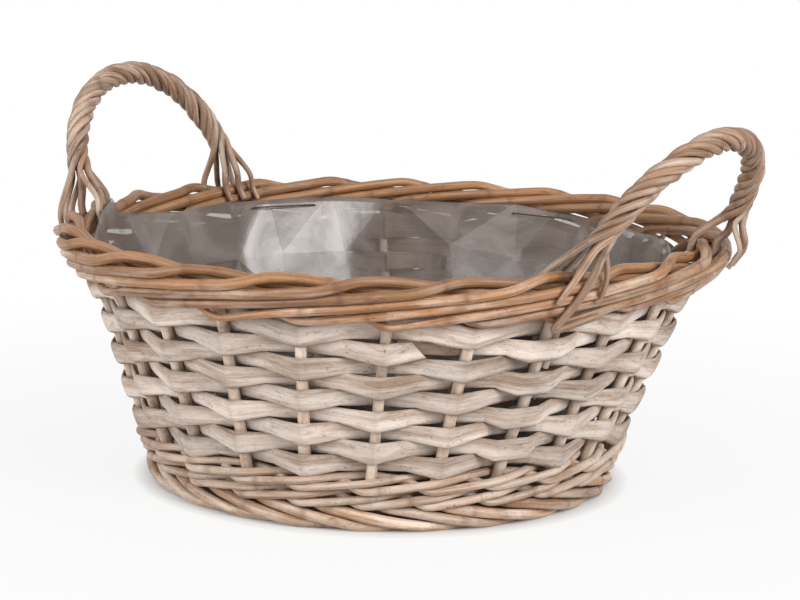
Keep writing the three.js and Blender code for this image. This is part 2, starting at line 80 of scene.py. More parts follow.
def count(name, description, number):
    """A count that the panel shows."""
    return IntProperty(name=name, description=description, default=number, min=1)


def place(name, description, number):
    """A stake that the panel shows, counted from the +X axis."""
    return IntProperty(name=name, description=description, default=number)


def colour(name, description, hex_colour):
    """A colour that the panel shows, given here as sRGB hex."""
    return FloatVectorProperty(
        name=name, description=description, default=linear(hex_colour), subtype="COLOR", size=4
    )


class BasketSizes(bpy.types.PropertyGroup):
    """Sizes of the basket, the same as those of its solids."""

    clearance: length("Clearance", "Air between two rods that lie together", 0.35)
    floor_radius: length("Floor radius", "Circle of the stakes where the wall meets the floor", 95)
    wall_lean: angle("Wall lean", "Slope of the wall, from upright", 22.5)
    wall_twist: angle("Wall twist", "Turn of the rim against the foot", 5)
    stake_count: count("Stakes", "Upright rods round the basket", 24)
    stake_diameter: length("Stake", "Thickness of an upright rod", 4.8)
    bend_radius: length("Bend", "Bend of a stake into the foot and the border", 7)
    foot_turn: angle("Foot turn", "How far a foot rod rolls under from stake to stake", 75)
    foot_reach: count("Foot reach", "Stakes that a foot rod passes", 3)
    foot_flat: length("Foot flat", "Depth worn flat under the foot", 0.8)
    wale_diameter: length("Wale", "Thickness of a rod of the low band", 3.2)
    wale_rods: count("Wale rods", "Rods of the low band", 3)
    wale_first: place("Wale first", "Stake where the low band begins, at the back", 10)
    wale_rounds: count("Wale rounds", "Rounds that each rod of the low band makes", 2)
    row_count: count("Rows", "Rows of split willow in the wall", 9)
    row_pitch: length("Row pitch", "From one row of splits to the next, up the slope", 8.05)
    split_width: length("Split width", "Width of a split over a stake", 10)
    split_thickness: length("Split thickness", "Thickness of a split at its middle", 2.2)
    border_diameter: length("Border rod", "Thickness of a stake where it runs in the border", 4.2)
    border_gap: length("Border gap", "From the last row of splits up to the border", 0.8)
    border_reach: count("Border reach", "Stakes that a border rod passes", 6)
    border_lift: length("Border lift", "Rise of a border rod as it crosses the rim", 2)
    handle_span: count("Handle span", "Stakes from one leg of a handle to the other", 3)
    right_stake: place("Right handle stake", "Stake of the right handle's first leg", -2)
    right_height: length("Right handle height", "From its feet to the middle of the rope's top", 56.5)
    right_lean: angle("Right handle lean", "How far the right handle leans out", 32)
    right_near_foot: length("Right near foot", "How far out of the wall its first leg stands", 1)
    right_far_foot: length("Right far foot", "How far out of the wall its second leg stands", 6)
    left_stake: place("Left handle stake", "Stake of the left handle's first leg", 10)
    left_height: length("Left handle height", "From its feet to the middle of the rope's top", 52)
    left_lean: angle("Left handle lean", "How far the left handle leans out", 22.5)
    left_near_foot: length("Left near foot", "How far out of the wall its first leg stands", -7)
    left_far_foot: length("Left far foot", "How far out of the wall its second leg stands", -5)
    core_diameter: length("Handle core", "Thickness of the bow inside a handle", 4)
    core_depth: length("Core depth", "Length of a bow's leg below the rim", 46)
    core_rise: length("Core rise", "Height above the rim where a bow's leg becomes the arch", 5)
    strand_count: count("Strands", "Rods that are roped round a handle's bow", 6)
    strand_diameter: length("Strand", "Thickness of a roping rod", 3.1)
    strand_turns: count("Strand turns", "Turns of a roping rod round the bow", 4)
    strand_spread: length("Strand spread", "How far the strands fan out at the rim", 9)
    rope_start: length("Rope start", "Height above the feet where the roping begins", 9)
    base_height: length("Base height", "Height of the middle of the base sticks", 11.5)
    base_sticks: count("Base sticks", "Sticks each way in the cross of the base", 3)
    base_stick_diameter: length("Base stick", "Thickness of a base stick", 5)
    base_stick_spacing: length("Base spacing", "Between base sticks where they cross", 5.4)
    base_slot_wall: length("Slot wall", "Wood left over and under a slot", 1.9)
    base_inner_radius: length("Base inner radius", "Middle of the first turn of the base weave", 27)
    base_turn_pitch: length("Base turn pitch", "Between turns of the base weave", 8.7)
    base_turns: count("Base turns", "Turns of each base weaver", 3)
    base_weavers: count("Base weavers", "Weavers of the base", 2)
    base_split_width: length("Base split", "Width of a base weaver", 8.2)
    film_thickness: length("Film", "Thickness of the drawn film", 0.15)
    liner_drop: length("Liner drop", "From the top of the rim to the edge of the liner", 6.5)
    thread_diameter: length("Thread", "Thickness of the liner's thread", 1)


class BasketColours(bpy.types.PropertyGroup):
    """Colours of the basket's materials."""

    split_wash: colour("Split wash", "Thin white wash on the splits", "e9dbd1")
    split_wood: colour("Split wood", "Bare wood of the splits", "b69c88")
    split_dark: colour("Split streaks", "Grey streaks in the splits", "7f6d5e")
    rod_wash: colour("Rod wash", "Thin white wash on the upright rods", "e0cfbf")
    stake_wood: colour("Stake wood", "Buff wood of the stakes and the border", "a57953")
    stake_dark: colour("Stake streaks", "Darker streaks of the stakes", "623a22")
    wale_wood: colour("Wale wood", "Wood of the low band", "bfa089")
    wale_dark: colour("Wale streaks", "Darker streaks of the low band", "76563f")
    handle_wood: colour("Handle wood", "Wood of the roped handles", "a5836a")
    handle_dark: colour("Handle streaks", "Darker streaks of the handles", "63432f")
    film: colour("Film", "Milky tint of the liner", "5c4f47")
    film_pale: colour("Pale film", "Facets of the liner that catch the light", "9a8f88")
    thread: colour("Thread", "Sewing thread of the liner", "4a3f36")


# The weave, as in the solids

# The tip of a border rod drops in front of its last stake, and turns up and in behind the next rod.
TUCK_FROM = 0.8  # stakes before its last one where it starts to drop
TUCK_DROPS = (2.8 * MM, 0.8 * MM)  # deep beside a bare stake, little over a split
TUCK_REACH = 0.5  # stakes that it runs on


class Weave:
    """Heights up the wall and distances out of it, worked out from the basket's sizes."""

    behind_from = 0.75  # stakes passed when a border rod lies behind the next stake
    cross_from = 2.0  # stakes passed when it starts over the rim
    cross_to = 2.73  # stakes passed when it lies in front

    def __init__(self, sizes):
        self.sizes = sizes
        stake = sizes.stake_diameter
        clear = sizes.clearance
        self.pitch = TURN / sizes.stake_count
        self.border_lay = sizes.border_diameter + clear
        self.foot_roll = (stake + clear) / (2 * math.sin(sizes.foot_turn / 2))
        self.foot_middle = self.foot_roll + stake / 2 - sizes.foot_flat
        self.foot_top = self.foot_middle + self.foot_roll
        self.foot_radius = sizes.floor_radius + self.foot_top * math.tan(sizes.wall_lean)
        half_step = self.foot_middle + self.foot_roll * math.cos(sizes.foot_turn / 2)
        wale_seat = half_step + (stake + sizes.wale_diameter) / 2 + clear
        self.wale_low = wale_seat / math.cos(sizes.wall_lean)
        self.wale_lay = sizes.wale_diameter + 1.5 * clear
        layers = 2 * sizes.wale_rounds - 1
        wale_top = self.wale_low + layers * self.wale_lay + sizes.wale_diameter / 2
        self.first_row = wale_top + clear + sizes.split_width / 2
        last_row = self.first_row + (sizes.row_count - 1) * sizes.row_pitch
        self.rows_top = last_row + sizes.split_width / 2
        self.border_low = self.rows_top + sizes.border_gap + sizes.border_diameter / 2
        self.front_top = self.border_low + (sizes.border_reach - self.cross_to) * self.border_lay
        self.behind_top = self.front_top - self.border_lay / 4
        self.behind_low = self.behind_top - (self.cross_from - self.behind_from) * self.border_lay
        self.stake_top = self.behind_low - self.border_lay / 2
        self.rim_top = self.front_top + sizes.border_lift + sizes.border_diameter / 2
        self.wale_out = (stake + sizes.wale_diameter) / 2 + clear
        self.split_out = (stake + sizes.split_thickness) / 2 + clear
        self.border_out = (stake + sizes.border_diameter) / 2 + clear
        self.strand_out = self.border_out + (sizes.border_diameter + sizes.strand_diameter) / 2 + clear
        self.liner_out = -self.strand_out - sizes.strand_diameter / 2 - clear

    def twisted(self, turn, up):
        """Angle round the basket, at a height up the slope, of what starts at an angle on the floor."""
        return turn + up / self.rim_top * self.sizes.wall_twist

    def wall_point(self, foot_turn, up, out, aside=0.0):
        """Point by its angle round the basket, and its way up the slope, out of it and along it."""
        turn = self.twisted(foot_turn, up)
        lean = self.sizes.wall_lean
        radius = self.sizes.floor_radius + up * math.sin(lean) + out * math.cos(lean)
        height = up * math.cos(lean) - out * math.sin(lean)
        x = radius * math.cos(turn) - aside * math.sin(turn)
        y = radius * math.sin(turn) + aside * math.cos(turn)
        return Vector((x, y, height))

    def wall_face(self, foot_turn, up):
        """Direction straight out of the wall."""
        turn = self.twisted(foot_turn, up)
        lean = self.sizes.wall_lean
        flat = math.cos(lean)
        return Vector((flat * math.cos(turn), flat * math.sin(turn), -math.sin(lean)))

    def pitch_length(self, up):
        """Length of one stake pitch at a height up the slope."""
        return (self.sizes.floor_radius + up * math.sin(self.sizes.wall_lean)) * self.pitch

    def foot_point(self, turn, passed):
        """Point of a foot rod that has passed some stakes: it rolls out, down and under."""
        roll = math.pi / 2 - passed * self.sizes.foot_turn
        radius = self.foot_radius + self.foot_roll * math.cos(roll)
        place = turn + passed * self.pitch
        height = self.foot_middle + self.foot_roll * math.sin(roll)
        return Vector((radius * math.cos(place), radius * math.sin(place), height))

    def border_knots(self, drop):
        """Stakes passed, height up the slope and way out of the wall along a border rod."""
        cross = (self.cross_from + self.cross_to) / 2
        reach = self.sizes.border_reach
        out = self.border_out
        return [
            (0.0, self.stake_top, 0.0),
            (self.behind_from, self.behind_low, -out),
            (self.cross_from, self.behind_top, -out),
            (cross, self.front_top + self.sizes.border_lift, 0.0),
            (self.cross_to, self.front_top, out),
            (reach - TUCK_FROM, self.border_low + TUCK_FROM * self.border_lay, out),
            (reach, self.border_low - drop, 0.95 * out),
            (reach + TUCK_REACH, self.border_low + self.border_lay, 0.0),
        ]


# Drying and handling leave the whole basket a little out of true, the rim more than the foot.
DRIFT = 1.2 * MM
DRIFT_WAVE = 150 * MM
DRIFT_HEIGHT = 110 * MM
NOISE_SHIFTS = (0.0, 31.7, 67.3)
# The wall is pressed in a little on one side, under the rim, and the rim bulges on the other.
DENT = 4.5 * MM
DENT_FACING = Vector((math.cos(math.radians(213)), math.sin(math.radians(213))))
DENT_LOW = 30 * MM
DENT_MIDDLE = 82 * MM
DENT_TOP = 106 * MM
BULGE = 8 * MM
BULGE_LOW = 90 * MM
BULGE_MIDDLE = 104 * MM
BULGE_TOP = 128 * MM


def smooth_noise(place):
    """Three smooth random values at a place, the same in every run."""
    return Vector([noise.noise(place + Vector((shift, 0.0, 0.0))) for shift in NOISE_SHIFTS])


def settled(point):
    """The point after the basket has dried and settled a little out of true."""
    rise = min(max(point.z, 0.0) / DRIFT_HEIGHT, 1.0)
    pressed = max(point.xy.dot(DENT_FACING) / max(point.xy.length, MM), 0.0) ** 3
    pressed *= eased(DENT_LOW, DENT_MIDDLE, point.z) * (1 - eased(DENT_MIDDLE, DENT_TOP, point.z))
    pushed = max(-point.xy.dot(DENT_FACING) / max(point.xy.length, MM), 0.0) ** 6
    pushed *= eased(BULGE_LOW, BULGE_MIDDLE, point.z) * (1 - eased(BULGE_MIDDLE, BULGE_TOP, point.z))
    moved = DENT_FACING.to_3d() * (DENT * pressed + BULGE * pushed)
    return point + smooth_noise(point / DRIFT_WAVE) * (DRIFT * rise) - moved


def between(knots, place):
    """Values at a place along a list of knots, whose first number is the place."""
    for here, after in zip(knots, knots[1:]):
        if place <= after[0]:
            share = (place - here[0]) / (after[0] - here[0])
            return [a + (b - a) * share for a, b in zip(here[1:], after[1:])]
    return list(knots[-1][1:])


def eased(low, high, value):
    """Smooth step from 0 at low to 1 at high."""
    share = min(max((value - low) / (high - low), 0.0), 1.0)
    return share * share * (3 - 2 * share)


# Sweeping wood along a path

@dataclass
class Station:
    """One cut across a rod or a split: its middle, its size, and the looks of the wood there."""

    middle: Vector
    width: float
    thickness: float
    face: Vector = None  # the way that a split's round face looks
    wash: float = 0.0
    knot: float = 0.0
    shade: float = 0.0  # lighter or darker than the rest of its rod or split
    slant: float = 0.0  # how far a slanted cut runs on, for each unit across


ROD_SIDES = 10
ROUND_SECTION = [
    (0.5 * math.cos(TURN * side / ROD_SIDES), 0.5 * math.sin(TURN * side / ROD_SIDES), 1.0)
    for side in range(ROD_SIDES)
]

# A split is a rod riven in two: its back is flat and bare, and its face is low and round, fuller below.
# Towards its upper edge, under the row above, the wash is thinned and the wood drawn darker: painted shade.
# The third number is the share of the wash that reaches each place; where it is low, the wood is also drawn
# darker as painted shade.
SPLIT_EDGE = -0.1  # of the thickness, where the round face meets the back
SPLIT_FACE_STEPS = 8
SPLIT_FACE = [
    (
        share - 0.5,
        SPLIT_EDGE + (0.5 - SPLIT_EDGE) * (1 - abs(2 * share**0.8 - 1) ** 3) ** 0.6,
        1 - 0.6 * max(share - 0.45, 0.0) / 0.55,
    )
    for share in (step / SPLIT_FACE_STEPS for step in range(1, SPLIT_FACE_STEPS))
]
SPLIT_BACK = [
    (0.5, SPLIT_EDGE, 0.35), (0.46, -0.42, 0.1), (0.22, -0.5, 0.1),
    (-0.22, -0.5, 0.1), (-0.46, -0.42, 0.1), (-0.5, SPLIT_EDGE, 0.55),
]
SPLIT_SECTION = SPLIT_FACE + SPLIT_BACK
PAINTED_SHADE = 0.9  # how much darker the wood is drawn where less wash reaches: painted shade at a split's upper edge and on its back, inside the basket


def resampled(points, step):
    """The path cut into even steps. Its points may carry a fourth value, which goes along."""
    gaps = [(b.xyz - a.xyz).length for a, b in zip(points, points[1:])]
    total = sum(gaps)
    steps = max(2, round(total / step))
    cuts = []
    index = 0
    passed = 0.0
    for number in range(steps + 1):
        target = total * number / steps
        while index < len(gaps) - 1 and passed + gaps[index] < target:
            passed += gaps[index]
            index += 1
        share = (target - passed) / max(gaps[index], 1e-9)
        cuts.append(points[index].lerp(points[index + 1], min(share, 1.0)))
    return cuts


def relaxed(points, rounds):
    """The path with its corners eased, and its ends kept."""
    for _ in range(rounds):
        middle = [(a + 2 * b + c) / 4 for a, b, c in zip(points, points[1:], points[2:])]
        points = [points[0], *middle, points[-1]]
    return points


def station_matrices(stations):
    """A matrix for each station, from its section to its place on the basket."""
    matrices = []
    across = None
    for index, station in enumerate(stations):
        before = stations[max(index - 1, 0)].middle
        after = stations[min(index + 1, len(stations) - 1)].middle
        along = (after - before).normalized()
        if station.face is not None:
            across = station.face.cross(along)
        elif across is None:
            across = along.orthogonal()
        across = (across - along * across.dot(along)).normalized()
        face = along.cross(across)
        matrix = Matrix((across * station.width, face * station.thickness, along))
        matrix = matrix.transposed().to_4x4()
        matrix.translation = station.middle
        matrices.append(matrix)
    return matrices


def sweep(bm, stations, section, tone, start):
    """Extrudes a section through the stations, and marks where each point lies in the straight wood."""
    fibre = bm.verts.layers.float_vector.get("fibre") or bm.verts.layers.float_vector.new("fibre")
    marks = [
        bm.verts.layers.float.get(name) or bm.verts.layers.float.new(name)
        for name in ("tone", "wash", "knot")
    ]
    matrices = station_matrices(stations)
    cap = bm.faces.new([bm.verts.new(matrices[0] @ Vector((x, y, 0.0))) for x, y, _ in section])
    run = start
    for index, (station, matrix) in enumerate(zip(stations, matrices)):
        if index:
            run += (station.middle - stations[index - 1].middle).length
            grown = bmesh.ops.extrude_face_region(bm, geom=[cap])["geom"]
            cap = next(part for part in grown if isinstance(part, bmesh.types.BMFace))
        for vert, (x, y, cover) in zip(cap.verts, section):
            vert.co = matrix @ Vector((x, y, station.slant * x * station.width))
            vert[fibre] = Vector((run, x * station.width, y * station.thickness))
            # Painted shade: darker where less of the wash reaches a section, at a split's upper edge and on
            # its back
            shade = station.shade - PAINTED_SHADE * (1 - cover)
            for mark, value in zip(marks, (tone + shade, station.wash * cover, station.knot)):
                vert[mark] = value


def finish_wood(bm):
    """Smooth sides and sharp ends, with the faces looking out."""
    bmesh.ops.recalc_face_normals(bm, faces=bm.faces)
    for face in bm.faces:
        face.smooth = len(face.verts) == 4
    for edge in bm.edges:
        edge.smooth = all(face.smooth for face in edge.link_faces)


def add_piece(name, bm, material, node):
    """A new object at the origin that stands for one of the basket's solids."""
    mesh = bpy.data.meshes.new(name)
    bm.to_mesh(mesh)
    bm.free()
    mesh.materials.append(material)
    piece = bpy.data.objects.new(name, mesh)
    bpy.context.scene.collection.objects.link(piece)
    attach(piece, "root")
    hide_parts(node)
    return piece


# Willow rods grow with buds, so a rod swells a little at its knots and is never quite even.
ROD_STEP = 2.2 * MM
KNOT_GAP = (26 * MM, 75 * MM)
KNOT_HALF = 1.7 * MM
KNOT_SWELL = 0.09
ROD_UNEVEN = 0.05
ROD_WAVE = 14 * MM
ROD_SIZES = (0.92, 1.08)
ROD_WANDER = 0.55 * MM  # how far a rod strays from its line
WANDER_WAVE = 38 * MM
SHADE_WAVE = 60 * MM
ROD_SHADE = 0.5
FIBRE_SHIFT = 5.0  # metres of wood among which each rod finds its own grain


def rod_stations(path, diameters, chance, ease):
    """Stations of a round rod along a path, tapering between the given diameters."""
    points = relaxed(resampled(path, ROD_STEP), ease)
    total = ROD_STEP * len(points)
    knots = []
    reach = chance.uniform(0.0, KNOT_GAP[1])
    while reach < total:
        knots.append(reach)
        reach += chance.uniform(*KNOT_GAP)
    seed = chance.uniform(0.0, 100.0)
    own = chance.uniform(*ROD_SIZES)
    taper = [(index / (len(diameters) - 1), value * own) for index, value in enumerate(diameters)]
    stations = []
    for index, point in enumerate(points):
        run = index * ROD_STEP
        diameter = between(taper, index / (len(points) - 1))[0]
        knot = sum(math.exp(-((run - place) / KNOT_HALF) ** 2) for place in knots)
        uneven = ROD_UNEVEN * noise.noise(Vector((seed, run / ROD_WAVE, 0.0)))
        size = diameter * (1 + KNOT_SWELL * knot + uneven)
        stray = smooth_noise(Vector((seed, run / WANDER_WAVE, 0.0))) * ROD_WANDER
        shade = ROD_SHADE * noise.noise(Vector((seed, run / SHADE_WAVE, 7.0)))
        middle = settled(point.xyz + stray)
        middle.z = max(middle.z, size / 2)  # nothing sinks into the floor
        stations.append(Station(middle, size, size, None, point.w, min(knot, 1.0), shade))
    return stations


def add_rod(name, path, diameters, material, node, seed, ease=6):
    """One round rod as a piece of its own."""
    chance = random.Random(seed)
    bm = bmesh.new()
    stations = rod_stations(path, diameters, chance, ease)
    sweep(bm, stations, ROUND_SECTION, chance.random(), chance.uniform(0.0, FIBRE_SHIFT))
    finish_wood(bm)
    return add_piece(name, bm, material, node)


# Materials

def add_node(tree, kind, inputs=None, **settings):
    """Adds a node with its settings, values and links, and gives its outputs."""
    node = tree.nodes.new(kind)
    for name, value in settings.items():
        setattr(node, name, value)
    for socket, value in (inputs or {}).items():
        if isinstance(value, bpy.types.NodeSocket):
            tree.links.new(value, node.inputs[socket])
        else:
            node.inputs[socket].default_value = value
    return node.outputs


def new_material(name):
    """An empty node material and its tree."""
    material = bpy.data.materials.new(name)
    material.use_nodes = True
    material.node_tree.nodes.clear()
    return material, material.node_tree


MIX_A, MIX_B, MIX_RESULT = 6, 7, 2  # colour sockets of the Mix node
RANGE_SOCKETS = ("Value", "From Min", "From Max", "To Min", "To Max")

# Length along the fibre, width across it and detail of each pattern in the wood. Willow is fine and
# straight in the grain. Its lines are drawn wider than the real 0.2 mm, so that they show at the
# distance of a picture.
WILLOW_PATTERNS = {
    "grain": (45 * MM, 0.9 * MM, 3.0),
    "patches": (30 * MM, 5 * MM, 4.0),
    "blots": (10 * MM, 3.2 * MM, 5.0),
    "flecks": (2.2 * MM, 0.55 * MM, 2.0),
    "specks": (1.5 * MM, 1.5 * MM, 1.0),
}
PATTERN_ROUGHNESS = 0.62
RING_DARK = 0.6  # how dark a bud ring is


def willow(name, light, dark, wash, patchiness, smudge, gloss, shine):
    """Willow along its own fibre: streaks of two woods, bud rings, flecks and smudges, and a thin wash.

    The wash lies thick where the patches are high and is worn through along the grain. Smudges, flecks,
    specks and bud rings are darker than the wood round them.
    """
    material, tree = new_material(name)
    fibre = add_node(tree, "ShaderNodeAttribute", attribute_name="fibre")["Vector"]
    tone, knot, washed = (
        add_node(tree, "ShaderNodeAttribute", attribute_name=mark)["Fac"]
        for mark in ("tone", "knot", "wash")
    )
    found = {"tone": tone}
    for pattern, (long, wide, detail) in WILLOW_PATTERNS.items():
        scale = (1 / long, 1 / wide, 1 / wide)
        spread = add_node(tree, "ShaderNodeMapping", {"Vector": fibre, "Scale": scale})[0]
        found[pattern] = add_node(
            tree, "ShaderNodeTexNoise",
            {"Vector": spread, "Scale": 1.0, "Detail": detail, "Roughness": PATTERN_ROUGHNESS},
        )["Fac"]
    # What each part of the finish is read from, the range that counts there, and what it is carried to.
    ranges = {
        "streaks": ("grain", 0.40, 0.72, 0.0, 0.7),
        "thick": ("patches", 0.36, 0.64, -patchiness, patchiness),
        "worn": ("grain", 0.35, 0.75, 0.05, -0.2),
        "specks": ("specks", 0.63, 0.71, 0.0, 0.8),
        "flecks": ("flecks", 0.56, 0.70, 0.0, 0.7),
        "spread": ("blots", 0.44, 0.62, 0.1, 1.0),
        "smudges": ("blots", 0.55, 0.75, 0.0, smudge),
        # The tone mark carries the painted shade of the splits' upper edges and backs, with the wood's
        # random tone
        "value": ("tone", -0.5, 1.0, 0.62, 1.12),
        "roughness": ("grain", 0.0, 1.0, gloss - 0.1, gloss + 0.16),
    }
    shares = {
        part: add_node(tree, "ShaderNodeMapRange", dict(zip(RANGE_SOCKETS, (found[pattern], *limits))))[0]
        for part, (pattern, *limits) in ranges.items()
    }
    rings = add_node(tree, "ShaderNodeMath", {0: knot, 1: RING_DARK}, operation="MULTIPLY")[0]
    cover = washed
    for share in ("thick", "worn"):
        cover = add_node(
            tree, "ShaderNodeMath", {0: cover, 1: shares[share]}, operation="ADD", use_clamp=True
        )[0]
    marks = shares["specks"]
    for operation, share in (
        ("MAXIMUM", shares["flecks"]), ("MULTIPLY", shares["spread"]),
        ("MAXIMUM", shares["smudges"]), ("MAXIMUM", rings),
    ):
        marks = add_node(
            tree, "ShaderNodeMath", {0: marks, 1: share}, operation=operation, use_clamp=True
        )[0]
    wood = light
    for share, over in ((shares["streaks"], dark), (cover, wash), (marks, dark)):
        wood = add_node(
            tree, "ShaderNodeMix", {0: share, MIX_A: wood, MIX_B: over}, data_type="RGBA"
        )[MIX_RESULT]
    toned = add_node(tree, "ShaderNodeHueSaturation", {"Color": wood, "Value": shares["value"]})[0]
    height = add_node(tree, "ShaderNodeMath", {0: found["grain"], 1: found["blots"]}, operation="ADD")[0]
    bump = add_node(tree, "ShaderNodeBump", {"Height": height, "Strength": 0.8, "Distance": 0.3 * MM})[0]
    surface = add_node(
        tree, "ShaderNodeBsdfPrincipled",
        {
            "Base Color": toned, "Roughness": shares["roughness"], "Normal": bump,
            "Specular IOR Level": shine,
        },
    )[0]
    add_node(tree, "ShaderNodeOutputMaterial", {"Surface": surface})
    return material


def washed_split_willow(colours):
    """Riven willow under a thin white wash: chalky and pale, with grey grain, flecks and bare patches."""
    woods = (colours.split_wood, colours.split_dark, colours.split_wash)
    return willow("washed_split_willow", *woods, patchiness=0.42, smudge=0.6, gloss=0.74, shine=0.3)


def buff_willow_rod(colours):
    """Willow boiled in its bark and peeled: warm buff with a satin shine, washed pale on the uprights."""
    woods = (colours.stake_wood, colours.stake_dark, colours.rod_wash)
    return willow("buff_willow_rod", *woods, patchiness=0.34, smudge=0.55, gloss=0.42, shine=0.5)


def grey_willow_rod(colours):
    """Thin peeled rods of the low band: paler and greyer than the border, with little shine."""
    woods = (colours.wale_wood, colours.wale_dark, colours.rod_wash)
    return willow("grey_willow_rod", *woods, patchiness=0.4, smudge=0.5, gloss=0.55, shine=0.4)


def brown_willow_rod(colours):
    """Roping rods: brown and grey by turns, polished a little by hands."""
    woods = (colours.handle_wood, colours.handle_dark, colours.rod_wash)
    return willow("brown_willow_rod", *woods, patchiness=0.36, smudge=0.6, gloss=0.46, shine=0.45)


# Sizes of the haze in the film and of its fine crinkles
CLOUD_SIZE = 34 * MM
CRINKLE_SIZE = 9 * MM
FILM_MIDDLE = 60 * MM  # height of a point well inside the basket
# Pale colour of the folds, a painted highlight, and dark colour of the outer side, a painted shade
FOLD_HIGHLIGHT, OUTSIDE_SHADE_COLOUR = "e8e4e0", "2a211b"
# Share of the painted shade on the film's outer side
OUTSIDE_SHADE_SHARE = 0.8


def polyethylene_film(colours):
    """Blown film: grey and hazy, with a soft gloss that breaks at each fold, and folds drawn pale: a
    painted highlight.

    Its outer side lies in the shade of the wall, and is painted dark there: painted shade.
    """
    material, tree = new_material("polyethylene_film")
    seen = add_node(tree, "ShaderNodeTexCoord")
    place = seen["Object"]
    fold, facet = (
        add_node(tree, "ShaderNodeAttribute", attribute_name=mark)["Fac"] for mark in ("fold", "haze")
    )
    cloud = add_node(
        tree, "ShaderNodeTexNoise",
        {"Vector": place, "Scale": 1 / CLOUD_SIZE, "Detail": 4.0, "Roughness": 0.5, "Distortion": 1.2},
    )["Fac"]
    # Milky facets and clouds are drawn in the pale colour: partly the film's haze, partly painted
    # reflection
    milk_and_reflection = add_node(tree, "ShaderNodeMix", {0: 0.7, 2: facet, 3: cloud}, data_type="FLOAT")[0]
    reach = add_node(
        tree, "ShaderNodeVectorMath", {0: place, 1: (0.0, 0.0, FILM_MIDDLE)}, operation="SUBTRACT"
    )["Vector"]
    outward = add_node(
        tree, "ShaderNodeVectorMath", {0: seen["Normal"], 1: reach}, operation="DOT_PRODUCT"
    )["Value"]
    outside = add_node(tree, "ShaderNodeMath", {0: outward, 1: 0.0}, operation="GREATER_THAN")[0]
    # The worn share marks the folds, which are drawn pale and less clear: painted highlight
    ranges = ((milk_and_reflection, 0.36, 0.66, 0.3, 0.86), (fold, 0.8, 1.0, 0.0, 0.4), (outside, 0.0, 1.0, 0.24, 0.8))
    haze, worn, dull = (
        add_node(tree, "ShaderNodeMapRange", dict(zip(RANGE_SOCKETS, limits)))[0] for limits in ranges
    )
    cover = add_node(tree, "ShaderNodeMath", {0: haze, 1: worn}, operation="MAXIMUM")[0]
    # The outer side is painted nearly black: painted shade of the wall
    outside_shade = add_node(tree, "ShaderNodeMath", {0: outside, 1: OUTSIDE_SHADE_SHARE}, operation="MULTIPLY")[0]
    toned = colours.film
    for share, over in ((milk_and_reflection, colours.film_pale), (worn, linear(FOLD_HIGHLIGHT)), (outside_shade, linear(OUTSIDE_SHADE_COLOUR))):
        toned = add_node(
            tree, "ShaderNodeMix", {0: share, MIX_A: toned, MIX_B: over}, data_type="RGBA"
        )[MIX_RESULT]
    crinkle = add_node(
        tree, "ShaderNodeTexNoise", {"Vector": place, "Scale": 1 / CRINKLE_SIZE, "Detail": 3.0}
    )["Fac"]
    bump = add_node(tree, "ShaderNodeBump", {"Height": crinkle, "Strength": 0.4, "Distance": 0.6 * MM})[0]
    surface = add_node(
        tree, "ShaderNodeBsdfPrincipled",
        {"Base Color": toned, "Roughness": dull, "Alpha": cover, "Normal": bump},
    )[0]
    add_node(tree, "ShaderNodeOutputMaterial", {"Surface": surface})
    return material


THREAD_TWIST = 5 * MM  # drawn coarser than the real twist of about 1 mm, so that it shows


def cotton_thread(colours):
    """Dull dark thread, twisted: fine slanting ridges across it."""
    material, tree = new_material("cotton_thread")
    fibre = add_node(tree, "ShaderNodeAttribute", attribute_name="fibre")["Vector"]
    twist = add_node(
        tree, "ShaderNodeTexWave", {"Vector": fibre, "Scale": 1 / THREAD_TWIST, "Distortion": 0.6},
        bands_direction="DIAGONAL",
    )["Fac"]
    # Lighter on the ridges of the twist and darker in its grooves: painted shade
    shade = add_node(tree, "ShaderNodeMapRange", {"Value": twist, "To Min": 0.75, "To Max": 1.2})[0]
    toned = add_node(tree, "ShaderNodeHueSaturation", {"Color": colours.thread, "Value": shade})[0]
    bump = add_node(tree, "ShaderNodeBump", {"Height": twist, "Strength": 0.6, "Distance": 0.15 * MM})[0]
    surface = add_node(
        tree, "ShaderNodeBsdfPrincipled", {"Base Color": toned, "Roughness": 0.9, "Normal": bump}
    )[0]
    add_node(tree, "ShaderNodeOutputMaterial", {"Surface": surface})
    return material


def shared_material(maker):
    """The material that a maker makes, made once."""
    found = bpy.data.materials.get(maker.__name__)
    return found or maker(bpy.context.scene.basket_colours)


# Stakes: foot rod, upright and border rod in one

FOOT_WASH, UPRIGHT_WASH, BORDER_WASH = 0.45, 0.85, 0.12
SHADED_INSIDE_WASH = -0.3  # below 0, so the border's inner side shows bare wood, darker than its washed outer side: painted shade of the inside
STAKE_TAPER = (0.88, 0.94, 1.02, 0.98, 0.95, 0.95, 0.93, 0.87, 0.52)  # of the stake's thickness
PATH_STEPS = 8  # points to a stake pitch along a rod
# Border rods whose tip slipped out, and how far, as a multiple of a rod's seat on the wall
LOOSE_TIPS = {19: 4.2, 20: 2.4}


def with_wash(point, wash):
    """A path point that carries how thickly the rod is washed there."""
    return Vector((*point, wash))


